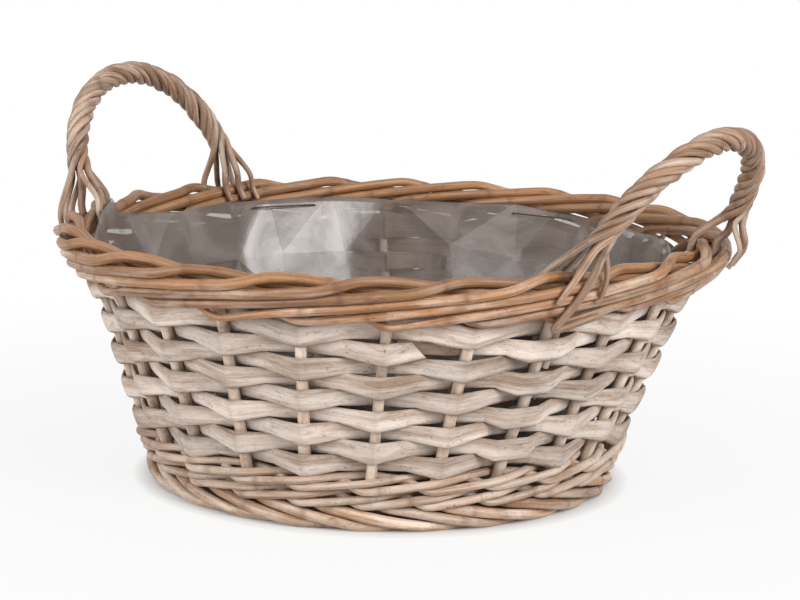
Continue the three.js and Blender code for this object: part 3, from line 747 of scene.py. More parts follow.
def stake_path(weave, index):
    """One stake from the tip of its foot rod to the tip of its border rod."""
    sizes = weave.sizes
    turn = index * weave.pitch
    bend = sizes.bend_radius
    corner = bend * (1 - math.sqrt(0.5))
    foot_pitch = weave.foot_radius * weave.pitch
    rim_pitch = weave.pitch_length(weave.stake_top)
    foot_up = weave.foot_top / math.cos(sizes.wall_lean)
    first = math.ceil(bend / foot_pitch * PATH_STEPS) + 1
    path = [
        with_wash(weave.foot_point(turn, step / PATH_STEPS), FOOT_WASH)
        for step in range(sizes.foot_reach * PATH_STEPS, first - 1, -1)
    ]
    into_foot = turn + corner / foot_pitch * weave.pitch
    into_border = turn - corner / rim_pitch * weave.pitch
    path.append(with_wash(weave.foot_point(turn, bend / foot_pitch), FOOT_WASH))
    path.append(with_wash(weave.wall_point(into_foot, foot_up + corner, 0), FOOT_WASH))
    path.append(with_wash(weave.wall_point(turn, foot_up + bend, 0), UPRIGHT_WASH))
    path.append(with_wash(weave.wall_point(turn, weave.stake_top - bend, 0), UPRIGHT_WASH))
    path.append(with_wash(weave.wall_point(into_border, weave.stake_top - corner, 0), BORDER_WASH))
    over = (index - sizes.border_reach - SplitRow(weave, sizes.row_count - 1).first) % 2
    knots = weave.border_knots(TUCK_DROPS[over])
    if index in LOOSE_TIPS:
        knots[-1] = (knots[-1][0], knots[-1][1] - weave.border_lay, LOOSE_TIPS[index] * weave.border_out)
    start = math.ceil(bend / rim_pitch * PATH_STEPS)
    for step in range(start, round(knots[-1][0] * PATH_STEPS) + 1):
        passed = step / PATH_STEPS
        up, out = between(knots, passed)
        # Less wash on the inner side of the border: painted shade
        outside = eased(-weave.border_out, weave.border_out, out)
        wash = SHADED_INSIDE_WASH + (BORDER_WASH - SHADED_INSIDE_WASH) * outside
        path.append(with_wash(weave.wall_point(turn - passed * weave.pitch, up, out), wash))
    return path


class BASKET_OT_stakes(bpy.types.Operator):
    """Bends each stake into the foot at its lower end and the border at its upper end"""

    bl_idname = "basket.stakes"
    bl_label = "Stakes"

    def execute(self, context):
        sizes = context.scene.basket_sizes
        weave = Weave(sizes)
        material = shared_material(buff_willow_rod)
        diameters = [share * sizes.stake_diameter for share in STAKE_TAPER]
        for index in range(sizes.stake_count):
            number = f"{index + 1:02d}"
            path = stake_path(weave, index)
            add_rod(
                f"willow_stake_{number}", path, diameters, material,
                f"stake_{number}", seed=100 + index, ease=4,
            )
        return {"FINISHED"}


# Rows of split willow

SPLIT_BEND = 0.7 * MM  # half the stretch of a split that lies flat on a stake
SPLIT_OVER_LEG = 7.0 * MM  # the same where a handle's leg stands beside the stake
SPLIT_CUTS = (0.0, 0.1, 0.28, 0.5, 0.75)  # shares of the way from a stake to the next crossing
SPLIT_PRESS = 0.95  # share of the swing, with the splits pressed on the stakes
# How far a split reaches above and below the middle of its row: behind a stake, where it crosses its
# neighbours, and in front of a stake.
SPLIT_REACH = (
    (-1.0, 3.7 * MM, 5.7 * MM), (-0.5, 4.0 * MM, 5.1 * MM),
    (0.0, 4.3 * MM, 3.9 * MM), (1.0, 5.0 * MM, 5.9 * MM),
)
TOP_REACH = ((-1.0, 7.6 * MM, 5.8 * MM), (0.0, 7.6 * MM, 3.9 * MM), (1.0, 5.2 * MM, 5.8 * MM))
SPLIT_JOINTS = (3, 19, 5, 1, 21, 3, 23, 11, 19)  # for each row, the front stake where two splits meet
JOINT_END = 0.42  # stakes past a front stake where the end of a split shows
JOINT_START = 0.16  # stakes past it where the next split begins, under that end
JOINT_TUCK = 2.5 * MM  # how far its beginning is pressed in
JOINT_SLANT = 0.7  # how far the end's slanted cut runs on, for each unit across
JOINT_CLEAR = 0.16  # stakes before that end with no other cut
JOINT_RISEN = 0.84  # stakes past its beginning where the next split has come out to its own place
JOINT_WASHED = (0.2, 1.0)  # stakes past it where the wash sets in, and where it is full
JOINT_STAIN = (0.25, 0.5, 1.5)  # stakes past it where the dark of the joint ends, and its strength
JOINT_THIN = 0.6  # share of the thickness that is left at a split's end
ROW_GAP = 0.02  # stakes that are left open on each side where a row closes
SPLIT_WASH = (0.55, 0.95)
SPLIT_LIFT = 0.4 * MM
SPLIT_SIZES = (0.96, 1.04)
CREASE, CREASE_HALF = 0.3, 0.04  # dark of the bend over a stake, and half its width in stakes
# Waves to a stake, place in the noise and size of what varies along a split.
SPLIT_WAVES = {
    "wobble": (0.9, 0.0, 0.6 * MM),
    "ragged": (2.7, 5.0, 0.07),
    "tilt": (1.3, 9.0, 0.14),
    "uneven": (2.0, 2.0, 0.1),
    "shade": (0.7, 3.0, 0.7),
}


class SplitRow:
    """One row of splits, in front of every other stake and behind the rest."""

    def __init__(self, weave, row):
        self.weave = weave
        sizes = weave.sizes
        self.up = weave.first_row + row * sizes.row_pitch
        self.first = round(sizes.stake_count / 3) + row % 2
        self.reach = TOP_REACH if row == sizes.row_count - 1 else SPLIT_REACH
        self.chance = random.Random(500 + row)
        self.legs = {
            (first + step) % sizes.stake_count
            for first in (sizes.right_stake, sizes.left_stake)
            for step in (0, sizes.handle_span)
        }

    def flat(self, near):
        """Half the stretch that lies flat on a stake, as a share of the pitch."""
        stake = (self.first + near) % self.weave.sizes.stake_count
        width = SPLIT_OVER_LEG if stake in self.legs else SPLIT_BEND
        return width / self.weave.pitch_length(self.up)

    def swing(self, passed):
        """How far out of the wall the row is, from 1 in front of a stake to -1 behind one."""
        near = round(passed)
        flat = self.flat(near)
        share = 1 - max(abs(passed - near) - flat, 0.0) / (0.5 - flat)
        return share if near % 2 else -share

    def places(self, begin, finish):
        """Where a split between two places is cut: close together at each bend."""
        cuts = {begin, finish}
        for near in range(math.floor(begin), math.ceil(finish) + 1):
            flat = self.flat(near)
            for share in SPLIT_CUTS:
                off = flat + (0.5 - flat) * share
                cuts.update((near - off, near + off))
            cuts.update((near, near + 0.5))
        return [cut for cut in sorted(cuts) if begin <= cut < finish - JOINT_CLEAR] + [finish]

    def stations(self, begin, finish, tucked):
        """Stations of one split between two places, counted in stakes passed."""
        weave = self.weave
        chance = self.chance
        seed = chance.uniform(0.0, 100.0)
        wash = chance.uniform(*SPLIT_WASH)
        lift = chance.uniform(-SPLIT_LIFT, SPLIT_LIFT)
        size = chance.uniform(*SPLIT_SIZES)
        made = []
        for passed in self.places(begin, finish):
            vary = {
                part: far * noise.noise(Vector((seed, passed * rate, row)))
                for part, (rate, row, far) in SPLIT_WAVES.items()
            }
            swing = self.swing(passed)
            fresh = passed - begin if tucked else 1.0
            out = swing * weave.split_out * SPLIT_PRESS
            out -= JOINT_TUCK * (1 - eased(JOINT_END - JOINT_START, JOINT_RISEN, fresh))
            turn = (self.first + passed) * weave.pitch
            above, below = between(self.reach, swing)
            up = self.up + lift + vary["wobble"] + (above - below) / 2
            crease = CREASE * (1 - eased(0.0, CREASE_HALF, abs(passed - round(passed))))
            stain = JOINT_STAIN[2] * (1 - eased(*JOINT_STAIN[:2], fresh))
            made.append(Station(
                middle=settled(weave.wall_point(turn, up, out)),
                width=(above + below) * size * (1 + vary["ragged"]),
                thickness=weave.sizes.split_thickness * (1 + vary["uneven"]),
                face=weave.wall_face(turn, self.up) + Vector((0.0, 0.0, vary["tilt"])),
                wash=wash * eased(*JOINT_WASHED, fresh),
                knot=max(crease, stain),
                shade=vary["shade"],
            ))
        if not tucked:
            made[-1].slant = -JOINT_SLANT
            made[-1].thickness *= JOINT_THIN
        return made


class BASKET_OT_side_splits(bpy.types.Operator):
    """Weaves the rows of split willow round the stakes"""

    bl_idname = "basket.side_splits"
    bl_label = "Side splits"

    def execute(self, context):
        sizes = context.scene.basket_sizes
        weave = Weave(sizes)
        material = shared_material(washed_split_willow)
        for row in range(sizes.row_count):
            rank = SplitRow(weave, row)
            joint = SPLIT_JOINTS[row]
            begins = [ROW_GAP, joint + JOINT_START]
            ends = [joint + JOINT_END, sizes.stake_count - ROW_GAP]
            bm = bmesh.new()
            for index, (begin, end) in enumerate(zip(begins, ends)):
                stations = rank.stations(begin, end, tucked=index > 0)
                sweep(
                    bm, stations, SPLIT_SECTION, rank.chance.random(), rank.chance.uniform(0.0, FIBRE_SHIFT)
                )
            finish_wood(bm)
            add_piece(f"split_row_{row + 1}", bm, material, f"side_split_{row + 1}")
        return {"FINISHED"}


# The low band of thin rods

WALE_DRAWN = 1.1  # a wale rod is plump between the places where its neighbours press it
WALE_TAPER = (0.9, 1.0, 1.04, 1.0, 0.96, 1.02, 0.9)
WALE_WASH = 0.4
# Stakes passed in a stroke, share of the rod's seat out of the wall, and rise in rods' thicknesses.
WALE_SWING = ((0, -1, 0.1), (0.55, -0.2, 0.1), (0.9, 1, -0.7), (2, 1, 0.5), (2.5, 0, 0.5), (3, -1, 0.1))


def wale_level(sizes, passed):
    """Rods that lie below a wale rod: it steps up at the end of each round."""
    done = math.floor(passed / sizes.stake_count)
    left = (done + 1) * sizes.stake_count - passed
    return 2 * (done + max(0.0, 1 - left / sizes.wale_rods))


def wale_path(weave, strand):
    """One rod of the wale: in front of two stakes and behind the third."""
    sizes = weave.sizes
    last = sizes.wale_rounds * sizes.stake_count - sizes.wale_rods
    path = []
    for step in range(last * PATH_STEPS + 1):
        passed = step / PATH_STEPS
        out, lift = between(WALE_SWING, (passed + strand) % sizes.wale_rods)
        up = weave.wale_low + (0.5 + lift + wale_level(sizes, passed)) * weave.wale_lay
        turn = (sizes.wale_first + passed) * weave.pitch
        place = weave.wall_point(turn, up, out * weave.wale_out)
        path.append(with_wash(place, WALE_WASH))
    return path


class BASKET_OT_wale(bpy.types.Operator):
    """Weaves the low band of thin rods above the foot"""

    bl_idname = "basket.wale"
    bl_label = "Wale"

    def execute(self, context):
        sizes = context.scene.basket_sizes
        weave = Weave(sizes)
        material = shared_material(grey_willow_rod)
        diameters = [WALE_DRAWN * share * sizes.wale_diameter for share in WALE_TAPER]
        for strand in range(sizes.wale_rods):
            add_rod(
                f"wale_{strand + 1}", wale_path(weave, strand), diameters, material,
                f"wale_rod_{strand + 1}", seed=700 + strand, ease=1,
            )
        return {"FINISHED"}


# Roped handles

BOW_STEPS = 40  # points along a bow
ROPE_STEPS = 24  # points to a turn of a strand
ROPE_RADIUS = 3.85 * MM  # from the bow's middle to a strand's middle
ROPE_STRAY = 0.2  # how far a strand strays round the bow, in radians
LOOP_STRAND = 0  # where tips run on, this strand's tip loops back under the border
LOOP_BACK = 20 * MM  # how far it runs back
ROUND_FOOT = 0.1  # share of the way out that a strand adds for each mm its leg stands off the wall
STRAND_DRIFTS = (10, 3, 14, 14, 14, 16)  # mm that each tip runs on, away from the handle's middle
SHORT_STRANDS = (1, 5)  # these end on the border at every leg
# Share of the drift at each leg. Where it is below half, all tips are short.
RIGHT_TAILS, LEFT_TAILS = (1.0, 0.2), (0.4, 0.3)
LONG_TAIL = 0.5
STRAND_SIZES = (1.15, 0.9, 1.05, 0.85, 1.1, 0.95)  # no two strands are equally thick
STRAND_TAPER = (0.85, 1.0, 1.12, 1.12, 1.12, 1.12, 1.12, 1.0, 0.8)
CORE_TAPER = (0.9, 0.92, 0.94, 0.92, 0.9)
HANDLE_WASH = 0.16


class Bow:
    """The bow of one handle: its two legs beside their stakes, and the arch between them."""

    def __init__(self, weave, stake, height, lean, feet, tails):
        sizes = weave.sizes
        self.weave = weave
        self.height = height
        self.feet = feet
        self.tails = tails
        self.beside = (sizes.stake_diameter + sizes.core_diameter) / 2 + sizes.clearance
        self.legs = [(stake + step) * weave.pitch for step in (0, sizes.handle_span)]
        foot_up = weave.rim_top + sizes.core_rise
        left, right = (
            weave.wall_point(turn, foot_up, out, self.beside) for turn, out in zip(self.legs, feet)
        )
        self.centre = (left + right) / 2
        self.half_span = (right - left).length / 2
        self.along = (right - left).normalized()
        outward = Vector((self.centre.x, self.centre.y, 0.0)).normalized()
        self.upward = outward * math.sin(lean) + Vector((0.0, 0.0, math.cos(lean)))
        self.through = self.along.cross(self.upward).normalized()

    def point(self, t):
        """Point of the arch, from one leg at 0 to the other at half a turn."""
        flat = self.along * (-self.half_span * math.cos(t))
        return self.centre + flat + self.upward * (self.height * math.sin(t))

    def sideways(self, t):
        """Direction across the arch, in its plane."""
        flat = self.along * (self.half_span * math.sin(t))
        tangent = (flat + self.upward * (self.height * math.cos(t))).normalized()
        return self.through.cross(tangent)


def core_path(bow):
    """The bow itself, with its legs pushed down between the splits."""
    weave = bow.weave
    low = weave.rim_top - weave.sizes.core_depth
    heights = ((low, UPRIGHT_WASH), (weave.rows_top, UPRIGHT_WASH), (weave.rim_top, HANDLE_WASH))
    near, far = (
        [with_wash(weave.wall_point(turn, up, 0, bow.beside), wash) for up, wash in heights]
        for turn in bow.legs
    )
    arch = [
        with_wash(bow.point(math.pi * step / BOW_STEPS), HANDLE_WASH) for step in range(BOW_STEPS + 1)
    ]
    return [*near, *arch, *reversed(far)]


def strand_end(weave, turn, foot, aside, drift, outside, short, loop):
    """Way of a strand's end from the rope down over the rim: some outside it, some inside, all drifting.

    A short one ends on the border, and a looped one turns back and rises on it. Each point of the way is
    a height up the wall, a share of the strand's seat out of it, and a share of the drift.
    """
    lay = weave.border_lay
    off = ROUND_FOOT * foot / MM
    tip = weave.border_low - (weave.sizes.border_diameter + weave.sizes.strand_diameter) / 2
    if outside:
        route = [
            (weave.front_top + 1.1 * lay, 0.8 + max(off, 0.0), 0.0),
            (weave.front_top, 1 + max(off, 0.0) / 6, 0.2),
        ]
        if short:
            route.append((weave.front_top - lay, 1, 0.25))
        else:
            route += [(weave.border_low, 1, 0.8), (tip, 0.88, 1.0)]
        if loop:
            back = 1 - LOOP_BACK / abs(drift)
            route += [
                (tip - 0.2 * lay, 0.86, 0.98), (tip + 0.2 * lay, 0.95, 0.6), (tip + 1.2 * lay, 1, back),
            ]
    else:
        route = [
            (weave.front_top + 0.7 * lay, -0.85 + min(off, 0.0), 0.0),
            (weave.front_top - 0.4 * lay, -1, 0.2),
            (weave.behind_low - 0.3 * lay, -1, 0.5),
        ]
    points = []
    for up, share, moved in route:
        passed = (aside + moved * drift) / weave.pitch_length(up)
        points.append(weave.wall_point(turn + passed * weave.pitch, up, share * weave.strand_out))
    return points


def strand_path(bow, strand):
    """One roping strand: turns round the bow from leg to leg, and fans out over the rim at both ends."""
    weave = bow.weave
    sizes = weave.sizes
    first = math.asin(sizes.rope_start / bow.height)
    phase = math.pi / 2 + TURN * strand / sizes.strand_count
    outside = math.sin(phase) > 0
    spread = sizes.strand_spread * math.cos(phase)
    steps = sizes.strand_turns * ROPE_STEPS

    def end(leg, way):
        """The strand's end at one leg."""
        drift = way * bow.tails[leg] * STRAND_DRIFTS[strand] * MM
        short = strand in SHORT_STRANDS or bow.tails[leg] < LONG_TAIL
        loop = strand == LOOP_STRAND and not short
        aside = bow.beside + way * spread
        return strand_end(weave, bow.legs[leg], bow.feet[leg], aside, drift, outside, short, loop)

    path = end(0, -1)[::-1]
    for step in range(steps + 1):
        t = first + (math.pi - 2 * first) * step / steps
        stray = noise.noise(Vector((strand * 9.0, step / ROPE_STEPS, bow.height * 100)))
        twist = phase + TURN * step / ROPE_STEPS + ROPE_STRAY * stray
        offset = bow.sideways(t) * math.cos(twist) + bow.through * math.sin(twist)
        path.append(bow.point(t) + offset * ROPE_RADIUS)
    path += end(1, 1)
    return [with_wash(point, HANDLE_WASH) for point in path]


class BASKET_OT_handles(bpy.types.Operator):
    """Bends the bow of each handle and ropes its strands round it"""

    bl_idname = "basket.handles"
    bl_label = "Handles"

    def execute(self, context):
        sizes = context.scene.basket_sizes
        weave = Weave(sizes)
        material = shared_material(brown_willow_rod)
        cores = [share * sizes.core_diameter for share in CORE_TAPER]
        bows = {
            "right": Bow(
                weave, sizes.right_stake, sizes.right_height, sizes.right_lean,
                (sizes.right_near_foot, sizes.right_far_foot), RIGHT_TAILS,
            ),
            "left": Bow(
                weave, sizes.left_stake, sizes.left_height, sizes.left_lean,
                (sizes.left_near_foot, sizes.left_far_foot), LEFT_TAILS,
            ),
        }
        for number, (side, bow) in enumerate(bows.items()):
            node = f"handle_{side}_core"
            add_rod(f"{node}_rod", core_path(bow), cores, material, node, seed=800 + number)
            for strand in range(sizes.strand_count):
                node = f"handle_{side}_strand_{strand + 1}"
                own = sizes.strand_diameter * STRAND_SIZES[strand - number]
                add_rod(
                    f"{node}_rod", strand_path(bow, strand), [own * share for share in STRAND_TAPER],
                    material, node, seed=850 + 10 * number + strand, ease=3,
                )
        return {"FINISHED"}


# Base

BASE_WASH = 0.35


def stick_lines(weave, index):
    """Half of one base stick's middle line, from its tip to the cross, and the end of its slot."""
    sizes = weave.sizes
    place = index % sizes.base_sticks - (sizes.base_sticks - 1) / 2
    slot = sizes.base_stick_diameter + 2 * sizes.clearance
    straight = ((sizes.base_sticks - 1) * sizes.base_stick_spacing + slot) / 2 + sizes.base_slot_wall
    reach = sizes.floor_radius + sizes.base_height * math.tan(sizes.wall_lean)
    reach -= sizes.stake_diameter / 2 + sizes.clearance
    spoke = place * TURN / (4 * sizes.base_sticks)
    tip = Vector((reach * math.cos(spoke), reach * math.sin(spoke), sizes.base_height))
    inner = Vector((straight, place * sizes.base_stick_spacing, sizes.base_height))
    return tip, inner


def mirrored(point):
    """The same place on the other half of a stick."""
    return Vector((-point.x, point.y, point.z))


class BASKET_OT_base(bpy.types.Operator):
    """Crosses the base sticks through each other and weaves the base round them"""

    bl_idname = "basket.base"
    bl_label = "Base"

    def execute(self, context):
        weave = Weave(context.scene.basket_sizes)
        for index in range(2 * weave.sizes.base_sticks):
            self.stick(weave, index)
        for weaver in range(weave.sizes.base_weavers):
            self.weaver(weave, weaver)
        return {"FINISHED"}

    def stick(self, weave, index):
        """One base stick: half of them are split at the middle, and the others pass through."""
        sizes = weave.sizes
        material = shared_material(grey_willow_rod)
        tip, inner = stick_lines(weave, index)
        name = f"base_stick_{index + 1}_rod"
        node = f"base_stick_{index + 1}"
        if index >= sizes.base_sticks:
            quarter = Matrix.Rotation(math.pi / 2, 3, "Z")
            line = [quarter @ point for point in (tip, inner, mirrored(inner), mirrored(tip))]
            path = [with_wash(point, BASE_WASH) for point in line]
            add_rod(name, path, [sizes.base_stick_diameter] * 2, material, node, 900 + index)
            return
        chance = random.Random(900 + index)
        bm = bmesh.new()
        open_by = sizes.base_stick_diameter / 2 + sizes.clearance + sizes.base_slot_wall / 2
        closed_by = sizes.base_stick_diameter / 4
        thinned = inner.lerp(tip, sizes.base_stick_diameter / (tip - inner).length)
        for side in (1, -1):
            up = Vector((0.0, 0.0, side))
            half = [tip + up * closed_by, thinned + up * closed_by, inner + up * open_by]
            line = half + [mirrored(point) for point in reversed(half)]
            stations = [
                Station(point, sizes.base_stick_diameter, 2 * closed_by, up, BASE_WASH)
                for point in relaxed(resampled(line, ROD_STEP), 2)
            ]
            sweep(bm, stations, SPLIT_SECTION, chance.random(), chance.uniform(0.0, FIBRE_SHIFT))
        finish_wood(bm)
        add_piece(name, bm, material, node)

    def weaver(self, weave, weaver):
        """One base weaver: a flat spiral, over one spoke and under the next."""
        sizes = weave.sizes
        material = shared_material(washed_split_willow)
        chance = random.Random(950 + weaver)
        spokes = 4 * sizes.base_sticks
        swing = (sizes.base_stick_diameter + sizes.split_thickness) / 2 + 2 * sizes.clearance
        line = []
        for step in range(spokes * sizes.base_turns * PATH_STEPS + 1):
            passed = step / PATH_STEPS
            turn = passed * TURN / spokes
            radius = sizes.base_inner_radius
            radius += (weaver + sizes.base_weavers * passed / spokes) * sizes.base_turn_pitch
            side = math.cos(math.pi * passed) * (-1) ** weaver
            line.append(
                Vector((radius * math.cos(turn), radius * math.sin(turn), sizes.base_height + side * swing))
            )
        up = Vector((0.0, 0.0, 1.0))
        stations = [
            Station(point, sizes.base_split_width, sizes.split_thickness, up, BASE_WASH) for point in line
        ]
        bm = bmesh.new()
        sweep(bm, stations, SPLIT_SECTION, chance.random(), chance.uniform(0.0, FIBRE_SHIFT))
        finish_wood(bm)
        name = f"base_weaver_{weaver + 1}"
        add_piece(f"{name}_split", bm, material, name)


# Film liner and its thread

FILM_COLUMNS = 27
FILM_RINGS = (0.14, 0.42, 0.7, 1.0)  # shares of the way up the wall
FLOOR_RINGS = (0.35, 0.7, 0.96)  # shares of the floor's radius
FILM_CUTS = 5  # cuts in each edge of a facet, which let it bend
FILM_PLAY = 3.4 * MM  # how far the film stands off its middle line
FILM_SLACK = 0.35  # share of that play at the floor
FILM_ASIDE = 0.42  # how far a corner of a facet strays along the wall, in columns
FILM_LIFT = 7 * MM  # how far it strays up and down the wall
EDGE_LIFT = 1.5 * MM  # the same along the upper edge
FLOOR_LIFT = 1.2 * MM  # and how far a point of the floor rises
FLOOR_LOW = 4 * MM  # facets that lie lower than this above the floor are even in their haze
FILM_EASE = 3  # rounds of easing, which leave the folds soft
FILM_CREASE = math.radians(10)  # a sharper bend than this is a crease
FILM_FOLD = math.radians(38)  # a bend that takes the full painted highlight along a fold
# Degrees round the basket, and how milky the film is there: clear where it lies flat on the wall. A milky
# facet is also drawn paler, as a painted reflection of the lights.
FILM_HAZE = (
    (0, 0.5), (60, 0.5), (75, 0.25), (97, 0.7), (108, 0.6), (113, 0.1), (127, 0.1),
    (132, 0.9), (140, 0.75), (150, 0.55), (166, 0.4), (360, 0.5),
)
HAZE_PLAY = 0.32  # how far a facet is clearer or milkier than that
EVEN_HAZE = 0.5
FLAP_TURN = math.radians(204)  # where a corner of the film stands up over the rim
FLAP_REACH = math.radians(10)
FLAP_RISE = 15 * MM
THREAD_DRAWN = 0.7  # the thread is pulled thin
STITCH_STAKES = (5, 9)  # inside the liner, the thread runs from each of these to the next stake


def film_radius(weave, height, out):
    """Radius of the wall's inside at a height."""
    lean = weave.sizes.wall_lean
    return weave.sizes.floor_radius + height * math.tan(lean) + out / math.cos(lean)


def placed(face):
    """Key that sorts faces by their place, whatever order Blender keeps them in."""
    return tuple(round(part / MM, 3) for part in face.calc_center_median())


class BASKET_OT_liner(bpy.types.Operator):
    """Presses a sheet of film into the basket, in pleats and creases"""

    bl_idname = "basket.liner"
    bl_label = "Liner"

    def execute(self, context):
        sizes = context.scene.basket_sizes
        weave = Weave(sizes)
        chance = random.Random(31)
        floor = sizes.base_height + sizes.base_stick_diameter / 2 + sizes.split_thickness
        floor += 3 * sizes.clearance
        top = weave.rim_top * math.cos(sizes.wall_lean) - sizes.liner_drop
        middle = weave.liner_out + FILM_PLAY / 2
        reach = film_radius(weave, floor, middle)
        profile = [(share * reach, floor) for share in FLOOR_RINGS]
        profile += [
            (film_radius(weave, height, middle), height)
            for height in (floor + share * (top - floor) for share in FILM_RINGS)
        ]
        bm = bmesh.new()
        chain = [bm.verts.new((0.0, 0.0, floor))] + [bm.verts.new((r, 0.0, z)) for r, z in profile]
        edges = [bm.edges.new(pair) for pair in zip(chain, chain[1:])]
        bmesh.ops.spin(
            bm, geom=chain + edges, axis=(0, 0, 1), cent=(0, 0, 0), angle=TURN,
            steps=FILM_COLUMNS, use_merge=True,
        )
        bmesh.ops.remove_doubles(bm, verts=bm.verts, dist=0.01 * MM)
        for vert in bm.verts:
            self.crumple(vert, floor, top, chance)
        bmesh.ops.triangulate(bm, faces=bm.faces, quad_method="SHORT_EDGE")
        # Each facet's haze also sets how pale it is drawn: partly haze, partly painted reflection
        haze = bm.faces.layers.float.new("haze")
        for face in sorted(bm.faces, key=placed):
            spot = face.calc_center_median()
            turn = math.degrees(math.atan2(spot.y, spot.x)) % 360
            own = between(FILM_HAZE, turn)[0] + chance.uniform(-HAZE_PLAY, HAZE_PLAY)
            face[haze] = EVEN_HAZE if spot.z < floor + FLOOR_LOW else own
        bmesh.ops.subdivide_edges(bm, edges=bm.edges, cuts=FILM_CUTS, use_grid_fill=True)
        # How sharply the film bends at each point, which sets the painted highlight along its folds
        fold = bm.verts.layers.float.new("fold")
        for vert in bm.verts:
            sharpest = max(edge.calc_face_angle(0.0) for edge in vert.link_edges)
            vert[fold] = min(sharpest / FILM_FOLD, 1.0)
        for _ in range(FILM_EASE):
            bmesh.ops.smooth_vert(
                bm, verts=bm.verts, factor=0.5, use_axis_x=True, use_axis_y=True, use_axis_z=True
            )
        bmesh.ops.recalc_face_normals(bm, faces=bm.faces)
        for face in bm.faces:
            face.smooth = True
        for edge in bm.edges:
            edge.smooth = edge.calc_face_angle(0.0) < FILM_CREASE
        area = sum(face.calc_area() for face in bm.faces)
        piece = add_piece("film_liner", bm, shared_material(polyethylene_film), "liner")
        thick = piece.modifiers.new("film", "SOLIDIFY")
        thick.thickness = sizes.film_thickness
        thick.offset = 0.0
        return {"FINISHED"}

    def crumple(self, vert, floor, top, chance):
        """Moves one point of the film off its smooth round, more towards the edge."""
        rise = (vert.co.z - floor) / (top - floor)
        radius = vert.co.xy.length
        if radius < 1 * MM:
            return
        turn = math.atan2(vert.co.y, vert.co.x)
        slack = FILM_SLACK + (1 - FILM_SLACK) * max(rise, 0.0)
        radius += FILM_PLAY * slack * chance.uniform(-1, 1)
        turn += chance.uniform(-FILM_ASIDE, FILM_ASIDE) * TURN / FILM_COLUMNS
        height = vert.co.z
        if rise > 0.01:
            loose = EDGE_LIFT if rise > 0.99 else FILM_LIFT
            height += chance.uniform(-loose, loose) * min(rise * 2, 1.0)
            off = (turn % TURN - FLAP_TURN) / FLAP_REACH
            height += FLAP_RISE * math.exp(-off * off) * eased(0.6, 1.0, rise)
        else:
            height += chance.uniform(0, FLOOR_LIFT)
        vert.co = Vector((radius * math.cos(turn), radius * math.sin(turn), height))


class BASKET_OT_stitch(bpy.types.Operator):
    """Sews the liner to the stakes with one thread"""

    bl_idname = "basket.stitch"
    bl_label = "Stitch"

    def execute(self, context):
        sizes = context.scene.basket_sizes
        weave = Weave(sizes)
        up = (weave.rows_top + weave.stake_top) / 2
        seat = -(sizes.stake_diameter + sizes.thread_diameter) / 2 - sizes.clearance
        inside = weave.liner_out - FILM_PLAY / 2
        path = []
        for index in range(STITCH_STAKES[0], STITCH_STAKES[-1] + 2):
            turn = index * weave.pitch
            if index - 1 in STITCH_STAKES:
                path.append(with_wash(weave.wall_point(turn, up, inside), 0.0))
            path.append(with_wash(weave.wall_point(turn, up, seat), 0.0))
            if index in STITCH_STAKES:
                path.append(with_wash(weave.wall_point(turn, up, inside), 0.0))
        drawn = THREAD_DRAWN * sizes.thread_diameter
        add_rod(
            "liner_thread", path, [drawn] * 2, shared_material(cotton_thread),
            "liner_stitch", seed=990, ease=1,
        )
        return {"FINISHED"}


# Stage

PICTURE_WIDTH = 800  # pixels
VIEW_AZIMUTH = math.radians(33)
VIEW_ELEVATION = math.radians(10.7)
VIEW_ROLL = math.radians(-1.26)
VIEW_DISTANCE = 1200 * MM
VIEW_ASIDE = 7.1 * MM  # the point that the camera looks at, to the right of the axis
VIEW_HEIGHT = 79.1 * MM
FOCAL_PIXELS = 2683.5
FLOOR_EXTENT = 12.0
AMBIENT = 0.3
# Share of a seen floor point that is plain white: none under the basket, and all of it far off.
PAPER_GLOW = ((0.098, 0.0), (0.112, 0.88), (0.45, 1.0))
PAPER_TOOTH = 2 * MM


def show_white(tree):
    """1 for the rays that see the stage, and 0 for the rays that carry its light."""
    path = add_node(tree, "ShaderNodeLightPath")
    seen = path["Is Camera Ray"]
    for ray in ("Is Glossy Ray", "Is Transmission Ray"):
        seen = add_node(tree, "ShaderNodeMath", {0: seen, 1: path[ray]}, operation="MAXIMUM")[0]
    return seen


def white_paper():
    """Matt white paper, which is seen as near white but still takes a soft shadow."""
    material, tree = new_material("white_paper")
    place = add_node(tree, "ShaderNodeTexCoord")["Object"]
    tooth = add_node(
        tree, "ShaderNodeTexNoise", {"Vector": place, "Scale": 1 / PAPER_TOOTH, "Detail": 2.0}
    )["Fac"]
    bump = add_node(tree, "ShaderNodeBump", {"Height": tooth, "Strength": 0.1, "Distance": 0.1 * MM})[0]
    paper = add_node(
        tree, "ShaderNodeBsdfPrincipled",
        {"Base Color": linear("cfccc8"), "Roughness": 0.95, "Specular IOR Level": 0.1, "Normal": bump},
    )[0]
    glow = add_node(tree, "ShaderNodeEmission", {"Color": linear("ffffff"), "Strength": 1.0})[0]
    reach = add_node(tree, "ShaderNodeVectorMath", {0: place}, operation="LENGTH")["Value"]
    share = show_white(tree)
    for (near, low), (far, high) in zip(PAPER_GLOW, PAPER_GLOW[1:]):
        limits = dict(zip(RANGE_SOCKETS, (reach, near, far, low / high, 1.0)))
        fade = add_node(tree, "ShaderNodeMapRange", limits)[0]
        share = add_node(tree, "ShaderNodeMath", {0: share, 1: fade}, operation="MULTIPLY")[0]
    surface = add_node(tree, "ShaderNodeMixShader", {0: share, 1: paper, 2: glow})[0]
    add_node(tree, "ShaderNodeOutputMaterial", {"Surface": surface})
    return material


